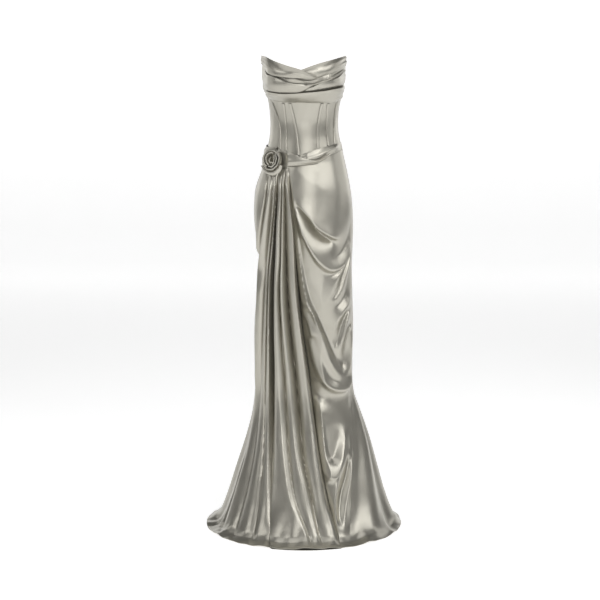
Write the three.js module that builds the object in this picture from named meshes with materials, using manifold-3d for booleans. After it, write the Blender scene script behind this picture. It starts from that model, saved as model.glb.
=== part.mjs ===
// A strapless satin evening gown, hollow as it hangs on a general figure: a boned corset, a draped and
// pleated bust, a twisted hip sash with a rolled rosette, a cascade of folds and a skirt of swags.
// Millimetres. The origin is the middle of the waist, +Z is up, the front faces -Y, and the wearer's
// left is +X. Places on the cloth are given as x across the front and as "down", the distance below
// the waist along the cloth, which is negative above it.
import * as THREE from "three";
import { mergeVertices } from "three/addons/utils/BufferGeometryUtils.js";
import Module from "manifold-3d";

// Driving dimensions.
const WAIST_TO_FLOOR = 1222;
const SEAM_GAP = 0.3;
const LAYER_GAP = 1.2;
const SATIN = 1.5; // wall of a draped satin piece
const CORSET = 2; // wall of a boned corset panel
const STEEPEST = 2.2; // most that a wall grows, measured outwards, where a fold turns away
const DEG = Math.PI / 180;
const SATIN_COLOUR = 0xa8a496;
const METAL_COLOUR = 0xb4b2aa;

// Half widths and depths of the smooth form under the folds, from the neckline to the spread hem.
const FORM = [
  { down: -200, z: 200, right: 119, left: 119, front: 106, back: 90 },
  { down: -150, z: 150, right: 120, left: 120, front: 112, back: 92 },
  { down: -110, z: 110, right: 115, left: 115, front: 112, back: 91 },
  { down: -66, z: 66, right: 107, left: 108, front: 104, back: 87 },
  { down: -30, z: 30, right: 102, left: 102, front: 94, back: 85 },
  { down: 0, z: 0, right: 100, left: 100, front: 88, back: 84 },
  { down: 40, z: -40, right: 101, left: 102, front: 88, back: 87 },
  { down: 75, z: -75, right: 107, left: 110, front: 92, back: 96 },
  { down: 110, z: -110, right: 115, left: 118, front: 97, back: 107 },
  { down: 150, z: -150, right: 127, left: 127, front: 102, back: 117 },
  { down: 195, z: -195, right: 143, left: 136, front: 106, back: 123 },
  { down: 240, z: -240, right: 148, left: 142, front: 107, back: 125 },
  { down: 300, z: -300, right: 148, left: 145, front: 106, back: 121 },
  { down: 375, z: -375, right: 138, left: 144, front: 103, back: 113 },
  { down: 425, z: -425, right: 131, left: 142, front: 101, back: 108 },
  { down: 510, z: -510, right: 141, left: 144, front: 100, back: 105 },
  { down: 610, z: -610, right: 149, left: 147, front: 100, back: 105 },
  { down: 720, z: -720, right: 149, left: 145, front: 102, back: 108 },
  { down: 810, z: -810, right: 147, left: 147, front: 108, back: 116 },
  { down: 880, z: -880, right: 153, left: 164, front: 122, back: 134 },
  { down: 960, z: -960, right: 170, left: 186, front: 146, back: 158 },
  { down: 1050, z: -1050, right: 196, left: 208, front: 175, back: 186 },
  { down: 1140, z: -1140, right: 224, left: 232, front: 206, back: 216 },
  { down: 1185, z: -1184, right: 240, left: 247, front: 226, back: 234 },
  { down: 1210, z: -1206, right: 251, left: 258, front: 240, back: 247 },
  { down: 1226, z: -1216.5, right: 263, left: 269, front: 253, back: 260 },
  { down: 1242, z: -1220, right: 278, left: 281, front: 268, back: 276 },
  { down: 1262, z: -1220.5, right: 297, left: 296, front: 288, back: 300 },
];
const HEM = FORM[FORM.length - 1].down;
const FLOOR = -WAIST_TO_FLOOR;

// Upper edge of the corset and lower edge where the skirt is sewn to it, by angle round the wearer:
// 0 is the middle of the front, positive towards the wearer's left.
const CORSET_EDGES = [
  { angle: -180, top: -112, foot: 84 },
  { angle: -120, top: -128, foot: 86 },
  { angle: -92, top: -166, foot: 96 },
  { angle: -75, top: -172, foot: 104 },
  { angle: -40, top: -150, foot: 116 },
  { angle: 0, top: -128, foot: 118 },
  { angle: 40, top: -150, foot: 100 },
  { angle: 75, top: -172, foot: 86 },
  { angle: 92, top: -166, foot: 82 },
  { angle: 120, top: -128, foot: 82 },
  { angle: 180, top: -112, foot: 84 },
];

// Corset seams, by angle at the neckline, under the bust, at the waist and at the foot.
const SEAM_STATIONS = [-200, -66, 0, 130];
const CORSET_SEAMS = [
  { name: "back_right", angles: [-147, -148, -150, -150] },
  { name: "side_back_right", angles: [-104, -106, -108, -108] },
  { name: "side_front_right", angles: [-68, -64, -49, -38] },
  { name: "mid_front_right", angles: [-48, -36, -34, -27] },
  { name: "front_right", angles: [-32, -25, -17, -7] },
  { name: "front_left", angles: [32, 30, 25, 18] },
  { name: "mid_front_left", angles: [48, 41, 42, 38] },
  { name: "side_front_left", angles: [68, 64, 62, 50] },
  { name: "side_back_left", angles: [104, 106, 108, 108] },
  { name: "back_left", angles: [147, 148, 150, 150] },
];
const CORSET_PANELS = [
  "corset_centre_back_right",
  "corset_side_back_right",
  "corset_side_right",
  "corset_side_front_right",
  "corset_mid_front_right",
  "corset_centre_front",
  "corset_mid_front_left",
  "corset_side_front_left",
  "corset_side_left",
  "corset_side_back_left",
  "corset_centre_back_left",
];
const SETTLING = 8; // rounds in which a slanted seam and an edge find where they cross
const PANEL_COLUMN = 13 * DEG; // angle that a column of a corset panel spans
const FRONT_HALF = 80; // degrees from the middle of the front to which a panel or seam is a front one
const CASING = { width: 8, thick: 0.9, frontTop: -51, backTop: 2, backFoot: 60, above: 3 };
const CUP = { across: 62, down: -112, lift: 13, spread: 42 };

// Draped strips over the bust, from the inside out. Edges are x across the front against height above
// the waist; lifts are how far the outer face stands off the corset along the lower and upper edge.
const BUST_FOLDS = [
  {
    name: "bust_cowl_left",
    upper: [[-34, 136], [-9, 147], [14, 156], [43, 166], [72, 174], [100, 182], [118, 187]],
    lower: [[-34, 126], [0, 116], [29, 120], [43, 127], [72, 138], [100, 147], [118, 158]],
    lifts: { lower: 2.6, middle: 10.5, upper: 6 },
  },
  {
    name: "bust_cowl_inner",
    upper: [[-112, 152], [-80, 136], [-57, 128], [-29, 123], [0, 113], [29, 111], [72, 129], [112, 148]],
    lower: [[-112, 138], [-80, 121], [-57, 108], [-29, 100], [0, 98], [29, 101], [72, 120], [112, 138]],
    lifts: { lower: 2.6, middle: 4.4, upper: 4.8 },
  },
  {
    name: "bust_cowl_right",
    upper: [[-118, 187], [-108, 185], [-72, 169], [-43, 158], [-14, 149], [9, 139], [31, 130]],
    lower: [[-118, 163], [-106, 153], [-92, 140], [-72, 132], [-57, 129], [-29, 125], [0, 124], [31, 126]],
    lifts: { lower: 17, middle: 20.5, upper: 15 },
  },
  {
    name: "bust_fold_left",
    upper: [[-34, 93], [0, 96], [20, 100], [43, 112], [72, 121], [100, 134], [118, 146]],
    lower: [[-34, 80], [8, 80], [43, 83], [80, 88], [112, 92]],
    lifts: { lower: 4.4, middle: 8.2, upper: 8.6 },
  },
  {
    name: "bust_fold_right",
    upper: [[-118, 172], [-100, 139], [-80, 131], [-57, 121], [-34, 112], [-6, 108], [20, 109], [43, 117], [72, 127]],
    lower: [[-112, 84], [-80, 80], [-43, 80], [-14, 81], [0, 89], [20, 103], [43, 112], [72, 124]],
    lifts: { lower: 11.2, middle: 15.5, upper: 14.4 },
  },
  {
    name: "bust_band",
    upper: [[-108, 94], [-80, 87], [14, 87], [43, 91], [80, 98], [110, 102]],
    lower: [[-104, 67], [-86, 61], [-57, 56], [-14, 55], [43, 54], [86, 56], [104, 62]],
    lifts: { lower: 3.2, middle: 12.8, upper: 17 },
  },
];

// Skirt seams, by angle round the wearer: the left one swings forward down the flare.
const LEFT_SEAM = [
  { down: 60, angle: 84 },
  { down: 240, angle: 81 },
  { down: 420, angle: 79 },
  { down: 600, angle: 77 },
  { down: 780, angle: 71 },
  { down: 900, angle: 58.5 },
  { down: 1050, angle: 42.5 },
  { down: 1185, angle: 33 },
  { down: HEM, angle: 27.5 },
];
const RIGHT_SEAM_ANGLE = -80;
const ROWS = 34; // rows of a gore, the same on both sides of a seam, and twice as many on the swags
const UNDER_CASCADE = [
  { down: 60, x: -66 },
  { down: 383, x: -62 },
  { down: 676, x: -52 },
  { down: 964, x: -32 },
  { down: 1097, x: -12 },
  { down: HEM, x: 12 },
];

// Folds pressed into the skirt. A path is x against down; height is how far the crest stands out, and
// "above" and "below" are how far the fold reaches on each side of the crest: above or to the wearer's
// left, and below or to the wearer's right.
const RIGHT_FOLDS = [
  { path: [[-88, 150], [-112, 205], [-134, 285], [-143, 345]], height: 11, above: 22, below: 24 },
  {
    path: [
      [-92, 180], [-107, 262], [-121, 345], [-132, 415], [-139, 520], [-144, 690], [-141, 800],
    ],
    height: 12, above: 18, below: 22,
  },
  {
    path: [
      [-96, 240], [-112, 330], [-120, 400], [-122, 470], [-124, 540], [-129, 650], [-137, 790],
    ],
    height: 9, above: 13, below: 12,
  },
  {
    path: [
      [-86, 205], [-98, 300], [-104, 383], [-109, 500], [-111, 640], [-113, 790], [-119, 880],
    ],
    height: 17, above: 11, below: 22,
  },
  { path: [[-145, 930], [-170, 1060], [-196, 1190]], height: 12, above: 34, below: 30 },
  { path: [[-118, 960], [-130, 1080], [-146, 1185]], height: 9, above: 30, below: 28 },
];
const LEFT_FOLDS = [
  { path: [[-40, 140], [-15, 163], [15, 184], [44, 204], [64, 212]], height: 2.4, above: 5, below: 6 },
  {
    path: [
      [-42, 190], [-15, 246], [20, 282], [50, 317], [73, 332], [102, 352],
    ],
    height: 15, above: 90, below: 11,
  },
  {
    path: [
      [-38, 255], [-23, 284], [-6, 326], [9, 362], [26, 394], [47, 424], [73, 440], [97, 430],
      [120, 396], [134, 350],
    ],
    height: 20, above: 34, below: 20,
  },
  { path: [[112, 362], [96, 388], [86, 406], [73, 436]], height: 9, above: 12, below: 12 },
  { path: [[143, 340], [128, 400], [106, 452], [82, 505], [60, 556]], height: 11, above: 13, below: 15 },
  { path: [[141, 385], [130, 440], [108, 495], [86, 540], [76, 556]], height: 11, above: 14, below: 11 },
  { path: [[73, 440], [68, 490], [50, 530], [52, 556]], height: 8, above: 18, below: 26 },
  { path: [[128, 560], [106, 592], [78, 622]], height: 8, above: 12, below: 14 },
  { path: [[134, 560], [124, 622], [114, 672], [102, 716], [92, 744]], height: 10, above: 18, below: 15 },
  {
    path: [
      [-29, 345], [-11, 445], [3, 530], [15, 586], [30, 655], [47, 716], [66, 762], [90, 790],
      [106, 795], [122, 780], [136, 738], [139, 640], [138, 530],
    ],
    height: 20, above: 21, below: 15,
  },
  {
    path: [
      [16, 590], [40, 645], [58, 690], [76, 738], [94, 756], [112, 742],
    ],
    height: 13, above: 22, below: 12,
  },
  {
    path: [
      [22, 905], [34, 972], [48, 1012], [66, 1040], [86, 1034], [106, 1000], [128, 930],
      [137, 850],
    ],
    height: 16, above: 32, below: 30,
  },
  {
    path: [
      [134, 935], [122, 985], [104, 1030], [92, 1070], [90, 1120], [96, 1180],
    ],
    height: 15, above: 14, below: 26,
  },
  { path: [[133, 990], [128, 1060], [118, 1120], [106, 1185]], height: 13, above: 16, below: 13 },
];

// Soft flutes of the back gores, by their share of the way across the gore, from the wearer's left to
// right, and by where each starts below the waist.
const BACK_LEFT_FLUTES = [
  { across: 0.17, from: 700, height: 15 },
  { across: 0.42, from: 560, height: 19 },
  { across: 0.58, from: 760, height: 12 },
  { across: 0.83, from: 600, height: 18 },
];
const BACK_RIGHT_FLUTES = [
  { across: 0.2, from: 640, height: 17 },
  { across: 0.4, from: 740, height: 12 },
  { across: 0.6, from: 540, height: 19 },
  { across: 0.8, from: 690, height: 14 },
];
const FLUTE_REACH = 0.13;
const FLUTE_GROWS = 420; // how far below its start a flute is full

// The left front gore is woven with its rows along the swags: how far a row drops below the level, by
// the share of the way across from the cascade to the side seam, and how strongly, by the share down.
const SWAG_ROW = [[0, -40], [0.25, 20], [0.5, 74], [0.66, 92], [0.82, 62], [1, 14]];
const SWAG_EASE = 1; // how much further the swags keep from the side seam, for their slanted rows
const SWAG_ROW_STRENGTH = [[0, 0], [0.06, 0.25], [0.16, 1], [0.55, 1], [0.78, 0.6], [0.93, 0], [1, 0]];

// How quickly a fold of the skirt runs out at its ends, as a share of its length, and the points that
// its curve is drawn through for each point of its path.
const FOLD_TAPER = 0.14;
const FOLD_POINTS = 8;
// Where the folds rise out of the skirt's sewn top, and where they sink again over the hem.
const FOLDS_RISE = { from: 112, over: 50 };
const FOLDS_SINK = { past: 6, over: 40 };

// The cascade: x of each line down the cloth, and how far the line stands out at the top, at the knee
// and at the hem. The lines are its right edge, then crests and valleys in turn, then its left edge.
const CASCADE_STATIONS = [136, 178, 238, 383, 530, 676, 822, 964, 1097, 1222, HEM];
const CASCADE_LINES = [
  { x: [-88, -88, -86, -91, -94, -92, -92, -96, -98, -98, -99], lift: [8, 10, 8] },
  { x: [-83, -82, -81, -85, -87, -85, -84, -86, -84, -84, -84], lift: [14, 17, 17] },
  { x: [-79, -78, -77, -82, -83, -82, -78, -75, -63, -54, -50], lift: [7, 8, 8] },
  { x: [-76, -75, -74, -78, -79, -78, -72, -64, -46, -22, -12], lift: [20, 27, 30] },
  { x: [-72, -71, -70, -73, -73, -66, -56, -45, -29, -8, -3], lift: [10, 10, 9] },
  { x: [-68, -67, -66, -68, -67, -53, -40, -25, -9, 5, 9], lift: [19, 25, 30] },
  { x: [-60, -59, -57, -56, -54, -41, -20, -9, 12, 42, 50], lift: [8, 8, 8] },
  { x: [-54, -52, -49, -40, -32, -16, -1, 17, 42, 74, 82], lift: [19, 27, 30] },
  { x: [-48, -46, -41, -32, -22, -7, 13, 29, 57, 92, 97], lift: [8.5, 9.5, 8] },
];
const CASCADE_LIFT_STATIONS = [136, 700, HEM];
const CASCADE_EDGE = 4.5; // lift of the cascade's hem
const CASCADE_COVERS = 10; // distance over which the skirt's folds sink before the cascade's edge
const CASCADE_SEWN = 2.2; // lift of its gathered top, which is sewn to the skirt

// The sash, from the rosette round the hips. Edges are x against down.
const SASH = [
  {
    name: "sash_upper",
    upper: [[-14, 100], [14, 87], [43, 79], [72, 72], [92, 68], [104, 68]],
    lower: [[-14, 112], [14, 118], [43, 114], [58, 104], [80, 94], [104, 84]],
    lifts: { lower: 5, middle: 10, upper: 6 },
    ends: [2.2, 2.2],
  },
  {
    name: "sash_lower",
    upper: [[-66, 84], [-43, 90], [-14, 102], [14, 111], [34, 111], [58, 101], [66, 94]],
    lower: [[-66, 128], [-43, 129], [-14, 127], [14, 124], [43, 118], [58, 109], [66, 103]],
    lifts: { lower: 9, middle: 15, upper: 13 },
    ends: [2.2],
  },
];
const SEWN_SHARE = 0.2; // share of a strip over which it rises from a sewn end
const SASH_BACK = [
  { angle: -262, top: 66, foot: 92, lift: 7 },
  { angle: -230, top: 64, foot: 102, lift: 7 },
  { angle: -180, top: 66, foot: 106, lift: 7 },
  { angle: -130, top: 70, foot: 112, lift: 7 },
  { angle: -95, top: 76, foot: 124, lift: 8 },
  { angle: -70, top: 78, foot: 134, lift: 8 },
  { angle: -46, top: 76, foot: 132, lift: 7 },
];
const SASH_ROLL = 2.8; // how far the sash's edges turn in
const SASH_SPLIT = 1; // degrees that each end of the sash keeps from the zip

// The rosette, rolled from a bias strip on a round base, in a frame of its own that looks out of the hip.
const ROSETTE = { x: -80, down: 114, lift: 10.4 };
const PETALS = [
  { start: 200, sweep: 235, inner: 26, outer: 31, height: 20 },
  { start: 20, sweep: 215, inner: 22.5, outer: 27, height: 22 },
  { start: 245, sweep: 175, inner: 18.5, outer: 22.5, height: 24 },
  { start: 75, sweep: 170, inner: 14.5, outer: 18.5, height: 25 },
  { start: 285, sweep: 150, inner: 10, outer: 14, height: 26 },
  { start: 120, sweep: 165, inner: 5.5, outer: 9, height: 26 },
];
const PETAL = 1.3;
const BASE = { radius: 27, thick: 3 };
// The loop of sash that hangs in a U below the rosette: x against down at its middle line.
const LOOP = {
  path: [[-106, 135.5], [-99, 146.5], [-88, 152.5], [-76, 150.5], [-66, 140.5], [-60, 128.5]],
  width: 15,
  lift: 18,
  bulge: 7,
};

// The zip up the middle of the back. Its slider has two ears that hold a pin, on which the pull tab
// hangs by an eye.
const ZIP = { width: 9, thick: 1, lift: 1.1, top: -110, foot: 225 };
const SLIDER = { width: 8, height: 12, depth: 2, down: -100, clear: 0.75 };
const PIN = { radius: 0.7, out: 2.6, ear: 1.2, earRadius: 1.7 };
const PULL = { width: 4.2, length: 22, thick: 1.4, eye: 2, bore: 1.1 };
const ROUND = 16; // sides of a small round

const wasm = await Module();
wasm.setup();

// Smooth values of the named columns of a table whose key column is sorted.
function smooth(rows, key) {
  const columns = Object.keys(rows[0]).filter((c) => c !== key);
  const values = rows.flatMap((row) => columns.map((c) => row[c]));
  const curve = new THREE.CubicInterpolant(rows.map((row) => row[key]), values, columns.length);
  return (at) => {
    const found = curve.evaluate(at);
    return Object.fromEntries(columns.map((c, i) => [c, found[i]]));
  };
}

// A smooth number against another, from a short list of pairs.
function smoothPairs(pairs) {
  const curve = new THREE.CubicInterpolant(pairs.map((p) => p[0]), pairs.map((p) => p[1]), 1);
  return (at) => curve.evaluate(at)[0];
}

const zip2 = (a, b) => a.map((value, i) => [value, b[i]]);
const mix = THREE.MathUtils.lerp;
const clamp01 = (t) => THREE.MathUtils.clamp(t, 0, 1);
const ease = (t) => THREE.MathUtils.smoothstep(t, 0, 1);

const formAt = smooth(FORM, "down");
const corsetEdges = smooth(CORSET_EDGES, "angle");

// Angle round the wearer, in radians, of a place x across the front.
function angleAt(x, down) {
  const form = formAt(down);
  const half = x < 0 ? form.right : form.left;
  return Math.asin(THREE.MathUtils.clamp(x / half, -1, 1));
}

// The smooth form without its folds.
function onForm(angle, down) {
  const form = formAt(down);
  const across = Math.sin(angle);
  const ahead = Math.cos(angle);
  return new THREE.Vector3(
    across * (across < 0 ? form.right : form.left),
    -ahead * (ahead > 0 ? form.front : form.back),
    form.z,
  );
}

// A point that stands off the smooth form along its outward normal.
function standOff(angle, down, lift) {
  const here = onForm(angle, down);
  const around = onForm(angle + DEG, down).sub(onForm(angle - DEG, down));
  const along = onForm(angle, Math.min(down + 1, HEM)).sub(onForm(angle, down - 1));
  const outward = along.cross(around).normalize();
  return here.addScaledVector(outward, lift);
}

// The cups of the bust, as a lift of the corset and of all that lies on it.
function cupLift(angle, down) {
  const x = onForm(angle, down).x;
  const below = (down - CUP.down) / CUP.spread;
  const beside = (Math.abs(x) - CUP.across) / CUP.spread;
  return Math.cos(angle) > 0 ? CUP.lift * Math.exp(-below * below - beside * beside) : 0;
}

// A closed wall over a grid of places. place(u, v) gives an angle and a down; lift is its outer face.
function wallGeometry({ columns, rows, place, lift, thickness }) {
  const outer = [];
  for (let j = 0; j <= rows; j++)
    for (let i = 0; i <= columns; i++) {
      const [angle, down] = place(i / columns, j / rows);
      outer.push({ angle, down, lift: lift(angle, down, i / columns, j / rows) });
    }
  const points = outer.map((p) => standOff(p.angle, p.down, p.lift));
  const at = (i, j) => j * (columns + 1) + i;
  const slope = (i, j) => {
    const beside = [at(Math.max(i - 1, 0), j), at(Math.min(i + 1, columns), j)];
    const along = [at(i, Math.max(j - 1, 0)), at(i, Math.min(j + 1, rows))];
    return Math.hypot(
      ...[beside, along].map(([a, b]) => {
        const rise = outer[b].lift - outer[a].lift;
        const run = points[b].distanceTo(points[a]);
        return rise / Math.sqrt(Math.max(run * run - rise * rise, 0.2 * run * run));
      }),
    );
  };
  const faces = [];
  const vertices = points.map((p) => p.clone());
  for (let j = 0; j <= rows; j++)
    for (let i = 0; i <= columns; i++) {
      const p = outer[at(i, j)];
      const grown = thickness * Math.min(STEEPEST, Math.hypot(1, slope(i, j)));
      vertices.push(standOff(p.angle, p.down, p.lift - grown));
    }
  const back = points.length;
  for (const [k, v] of vertices.entries()) v.z = Math.max(v.z, k < back ? FLOOR + SATIN : FLOOR);
  const quad = (a, b, c, d) => faces.push(a, b, c, a, c, d);
  for (let j = 0; j < rows; j++)
    for (let i = 0; i < columns; i++) {
      const [a, b, c, d] = [at(i, j), at(i, j + 1), at(i + 1, j + 1), at(i + 1, j)];
      quad(a, b, c, d);
      quad(a + back, d + back, c + back, b + back);
    }
  const rim = (a, b) => quad(b, b + back, a + back, a);
  for (let i = 0; i < columns; i++) {
    rim(at(i, 0), at(i + 1, 0));
    rim(at(i + 1, rows), at(i, rows));
  }
  for (let j = 0; j < rows; j++) {
    rim(at(columns, j), at(columns, j + 1));
    rim(at(0, j + 1), at(0, j));
  }
  return meshGeometry(vertices.flatMap((v) => v.toArray()), faces);
}

function meshGeometry(numbers, faces) {
  const geometry = new THREE.BufferGeometry();
  geometry.setAttribute("position", new THREE.Float32BufferAttribute(numbers, 3));
  geometry.setIndex(faces);
  geometry.computeVertexNormals();
  return geometry;
}

const satin = (roughness) =>
  new THREE.MeshStandardMaterial({ color: SATIN_COLOUR, roughness, metalness: 0.35 });

function piece(name, geometry, material = satin(0.38)) {
  const mesh = new THREE.Mesh(geometry, material);
  mesh.name = name;
  return mesh;
}

// The section of a fold: a rounded crest whose sides run out to nothing.
const crestShape = (share) => (share < 1 ? (1 - share * share) ** 2 : 0);

// Adds up the folds that cross a place.
function foldField(folds) {
  const laid = (x, down) => {
    const form = formAt(down);
    return new THREE.Vector2(angleAt(x, down) * (x < 0 ? form.right : form.left), down);
  };
  const lines = folds.map((fold) => {
    const path = fold.path.map(([x, down]) => new THREE.Vector3(...laid(x, down).toArray(), 0));
    const curve = new THREE.CatmullRomCurve3(path);
    const points = curve.getPoints(FOLD_POINTS * path.length);
    return { ...fold, points: points.map((p) => new THREE.Vector2(p.x, p.y)) };
  });
  return (angle, down) => {
    const form = formAt(down);
    const here = new THREE.Vector2(angle * (angle < 0 ? form.right : form.left), down);
    let total = 0;
    for (const line of lines) {
      let best = { distance: Infinity };
      for (let k = 0; k + 1 < line.points.length; k++) {
        const a = line.points[k];
        const run = line.points[k + 1].clone().sub(a);
        const t = clamp01(here.clone().sub(a).dot(run) / run.lengthSq());
        const away = here.clone().sub(a).addScaledVector(run, -t);
        if (away.length() >= best.distance) continue;
        const along = (k + t) / (line.points.length - 1);
        best = { distance: away.length(), side: run.cross(away), along };
      }
      const reach = best.side > 0 ? line.below : line.above;
      const ends = ease(best.along / FOLD_TAPER) * ease((1 - best.along) / FOLD_TAPER);
      total += line.height * ends * crestShape(best.distance / reach);
    }
    return total;
  };
}

// Corset panels, each between two seams, and the bone casings that cover the seams.
const seamAngle = (seam) => {
  const angles = smoothPairs(zip2(SEAM_STATIONS, seam.angles));
  return (down) => angles(down) * DEG;
};
const SEAM_LINES = [() => -Math.PI, ...CORSET_SEAMS.map(seamAngle), () => Math.PI];

function corsetPanel(name, k) {
  const [first, last] = [SEAM_LINES[k], SEAM_LINES[k + 1]];
  const middle = mix(first(0), last(0), 0.5) / DEG;
  const columns = Math.max(2, Math.round((last(0) - first(0)) / PANEL_COLUMN));
  const half = SEAM_GAP / 2 / formAt(0).front;
  const place = (u, v) => {
    let angle = mix(first(0), last(0), u);
    let down = 0;
    for (let pass = 0; pass < SETTLING; pass++) {
      const edges = corsetEdges(angle / DEG);
      down = mix(edges.top, edges.foot - SEAM_GAP, v);
      angle = mix(first(down) + half, last(down) - half, u);
    }
    return [angle, down];
  };
  const geometry = wallGeometry({
    columns,
    rows: Math.abs(middle) < FRONT_HALF ? 9 : 6,
    place,
    lift: cupLift,
    thickness: CORSET,
  });
  return piece(name, geometry, satin(0.42));
}

function boneCasing(seam, k) {
  const line = SEAM_LINES[k + 1];
  const wide = CASING.width / 2 / formAt(0).front;
  const inFront = Math.abs(line(0)) < FRONT_HALF * DEG;
  const edges = corsetEdges(line(0) / DEG);
  const top = inFront ? CASING.frontTop : edges.top + CASING.backTop;
  const sash = sashTop(line(CASING.backFoot));
  const foot = inFront ? Math.min(sash, edges.foot) - CASING.above : CASING.backFoot;
  const place = (u, v) => {
    const down = mix(top, foot, v);
    return [line(down) + mix(-wide, wide, u), down];
  };
  const lift = (angle, down) => cupLift(angle, down) + LAYER_GAP + CASING.thick;
  const geometry = wallGeometry({ columns: 1, rows: 7, place, lift, thickness: CASING.thick });
  return piece(`casing_${seam.name}`, geometry, satin(0.4));
}

// Height at which the sash's upper edge crosses an angle in front.
function sashTop(angle) {
  const x = 104 * Math.sin(angle);
  const edges = SASH.map((strip) => smoothPairs(strip.upper)(x));
  return x < -14 ? edges[1] : Math.min(...edges);
}

// A draped strip between an upper and a lower edge given across the front. Its ends are sewn down to
// the lifts in "ends".
function frontStrip({ name, upper, lower, lifts, ends = [] }, { columns, rows, sign, cups = true }) {
  const upperAt = smoothPairs(upper);
  const lowerAt = smoothPairs(lower);
  const place = (u, v) => {
    const x = mix(mix(upper[0][0], lower[0][0], v), mix(upper.at(-1)[0], lower.at(-1)[0], v), u);
    const down = sign * mix(upperAt(x), lowerAt(x), v);
    return [angleAt(x, down), down];
  };
  const lift = (angle, down, u, v) => {
    const bulge = 4 * v * (1 - v) * (lifts.middle - mix(lifts.upper, lifts.lower, 0.5));
    let total = mix(lifts.upper, lifts.lower, v) + bulge;
    for (const [k, end] of ends.entries()) {
      const away = k ? 1 - u : u;
      total = mix(end, total, ease(away / SEWN_SHARE));
    }
    return (cups ? cupLift(angle, down) : 0) + total;
  };
  return piece(name, wallGeometry({ columns, rows, place, lift, thickness: SATIN }));
}

// The skirt's four gores and the cascade.
const leftSeam = smooth(LEFT_SEAM, "down");
const underCascade = smooth(UNDER_CASCADE, "down");
const seamHalf = (down) => SEAM_GAP / 2 / formAt(down).front;
const leftSeamAngle = (down) => leftSeam(down).angle * DEG;
const underAngle = (down) => angleAt(underCascade(down).x, down);

function gore(name, { first, last, columns, rows, lift, rowDrop = () => 0 }) {
  const place = (u, v) => {
    const top = corsetEdges(mix(first(90), last(90), u) / DEG).foot;
    const down = mix(top + SEAM_GAP, HEM, v) + rowDrop(u, v);
    return [mix(first(down) + seamHalf(down), last(down) - seamHalf(down), u), down];
  };
  return piece(name, wallGeometry({ columns, rows, place, lift, thickness: SATIN }));
}

// Folds lie flat under the seams, under the sash and at the edge of the hem.
function settled(down) {
  const rise = ease((down - FOLDS_RISE.from) / FOLDS_RISE.over);
  return rise * ease((HEM + FOLDS_SINK.past - down) / FOLDS_SINK.over);
}

const rightField = foldField(RIGHT_FOLDS);
const leftField = foldField(LEFT_FOLDS);
const fluteField = (flutes) => (across, down) =>
  flutes.reduce((total, flute) => {
    const grown = ease((down - flute.from) / FLUTE_GROWS);
    return total + flute.height * grown * crestShape(Math.abs(across - flute.across) / FLUTE_REACH);
  }, 0);

const swagRow = smoothPairs(SWAG_ROW);
const swagRowStrength = smoothPairs(SWAG_ROW_STRENGTH);

// Keeps the skirt low where the cascade covers it.
function clearOfCascade(angle, down) {
  const edges = cascadeEdges(down);
  const wide = CASCADE_COVERS / formAt(down).front;
  const left = ease((angle - edges[1]) / wide - 0.2);
  const right = ease((edges[0] - angle) / wide - 0.2);
  return down < CASCADE_STATIONS[0] - CASCADE_COVERS ? 1 : Math.max(left, right);
}

const cascadeLines = CASCADE_LINES.map((line) => ({
  x: smoothPairs(zip2(CASCADE_STATIONS, line.x)),
  lift: smoothPairs(zip2(CASCADE_LIFT_STATIONS, line.lift)),
}));
const cascadeEdges = (down) =>
  [cascadeLines[0], cascadeLines.at(-1)].map((line) => angleAt(line.x(down), down));

function cascade() {
  const spans = cascadeLines.length - 1;
  const perSpan = 2;
  const span = (u) => {
    const k = Math.min(Math.floor(u * spans + 1e-9), spans - 1);
    return [cascadeLines[k], cascadeLines[k + 1], u * spans - k];
  };
  const place = (u, v) => {
    const down = mix(CASCADE_STATIONS[0], HEM, v);
    const [a, b, t] = span(u);
    return [angleAt(mix(a.x(down), b.x(down), t), down), down];
  };
  const lift = (angle, down, u) => {
    const [a, b, t] = span(u);
    const flat = ease((HEM + 4 - down) / 60);
    const sewn = ease((down - CASCADE_STATIONS[0]) / 50);
    const full = mix(CASCADE_EDGE, mix(a.lift(down), b.lift(down), ease(t)), flat);
    return mix(CASCADE_SEWN, full, sewn);
  };
  return piece("cascade", wallGeometry({ columns: spans * perSpan, rows: 30, place, lift, thickness: SATIN }));
}

// The plain sash round a hip to the zip at the back, between two angles of the table.
const sashBackAt = smooth(SASH_BACK, "angle");

function sashBack(name, first, last, columns) {
  const place = (u, v) => {
    const angle = mix(first, last, u);
    const { top, foot } = sashBackAt(angle);
    return [angle * DEG, mix(top, foot, v)];
  };
  const lift = (angle, down, u, v) => sashBackAt(mix(first, last, u)).lift - SASH_ROLL * (2 * v - 1) ** 2;
  return piece(name, wallGeometry({ columns, rows: 4, place, lift, thickness: SATIN }));
}

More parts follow.
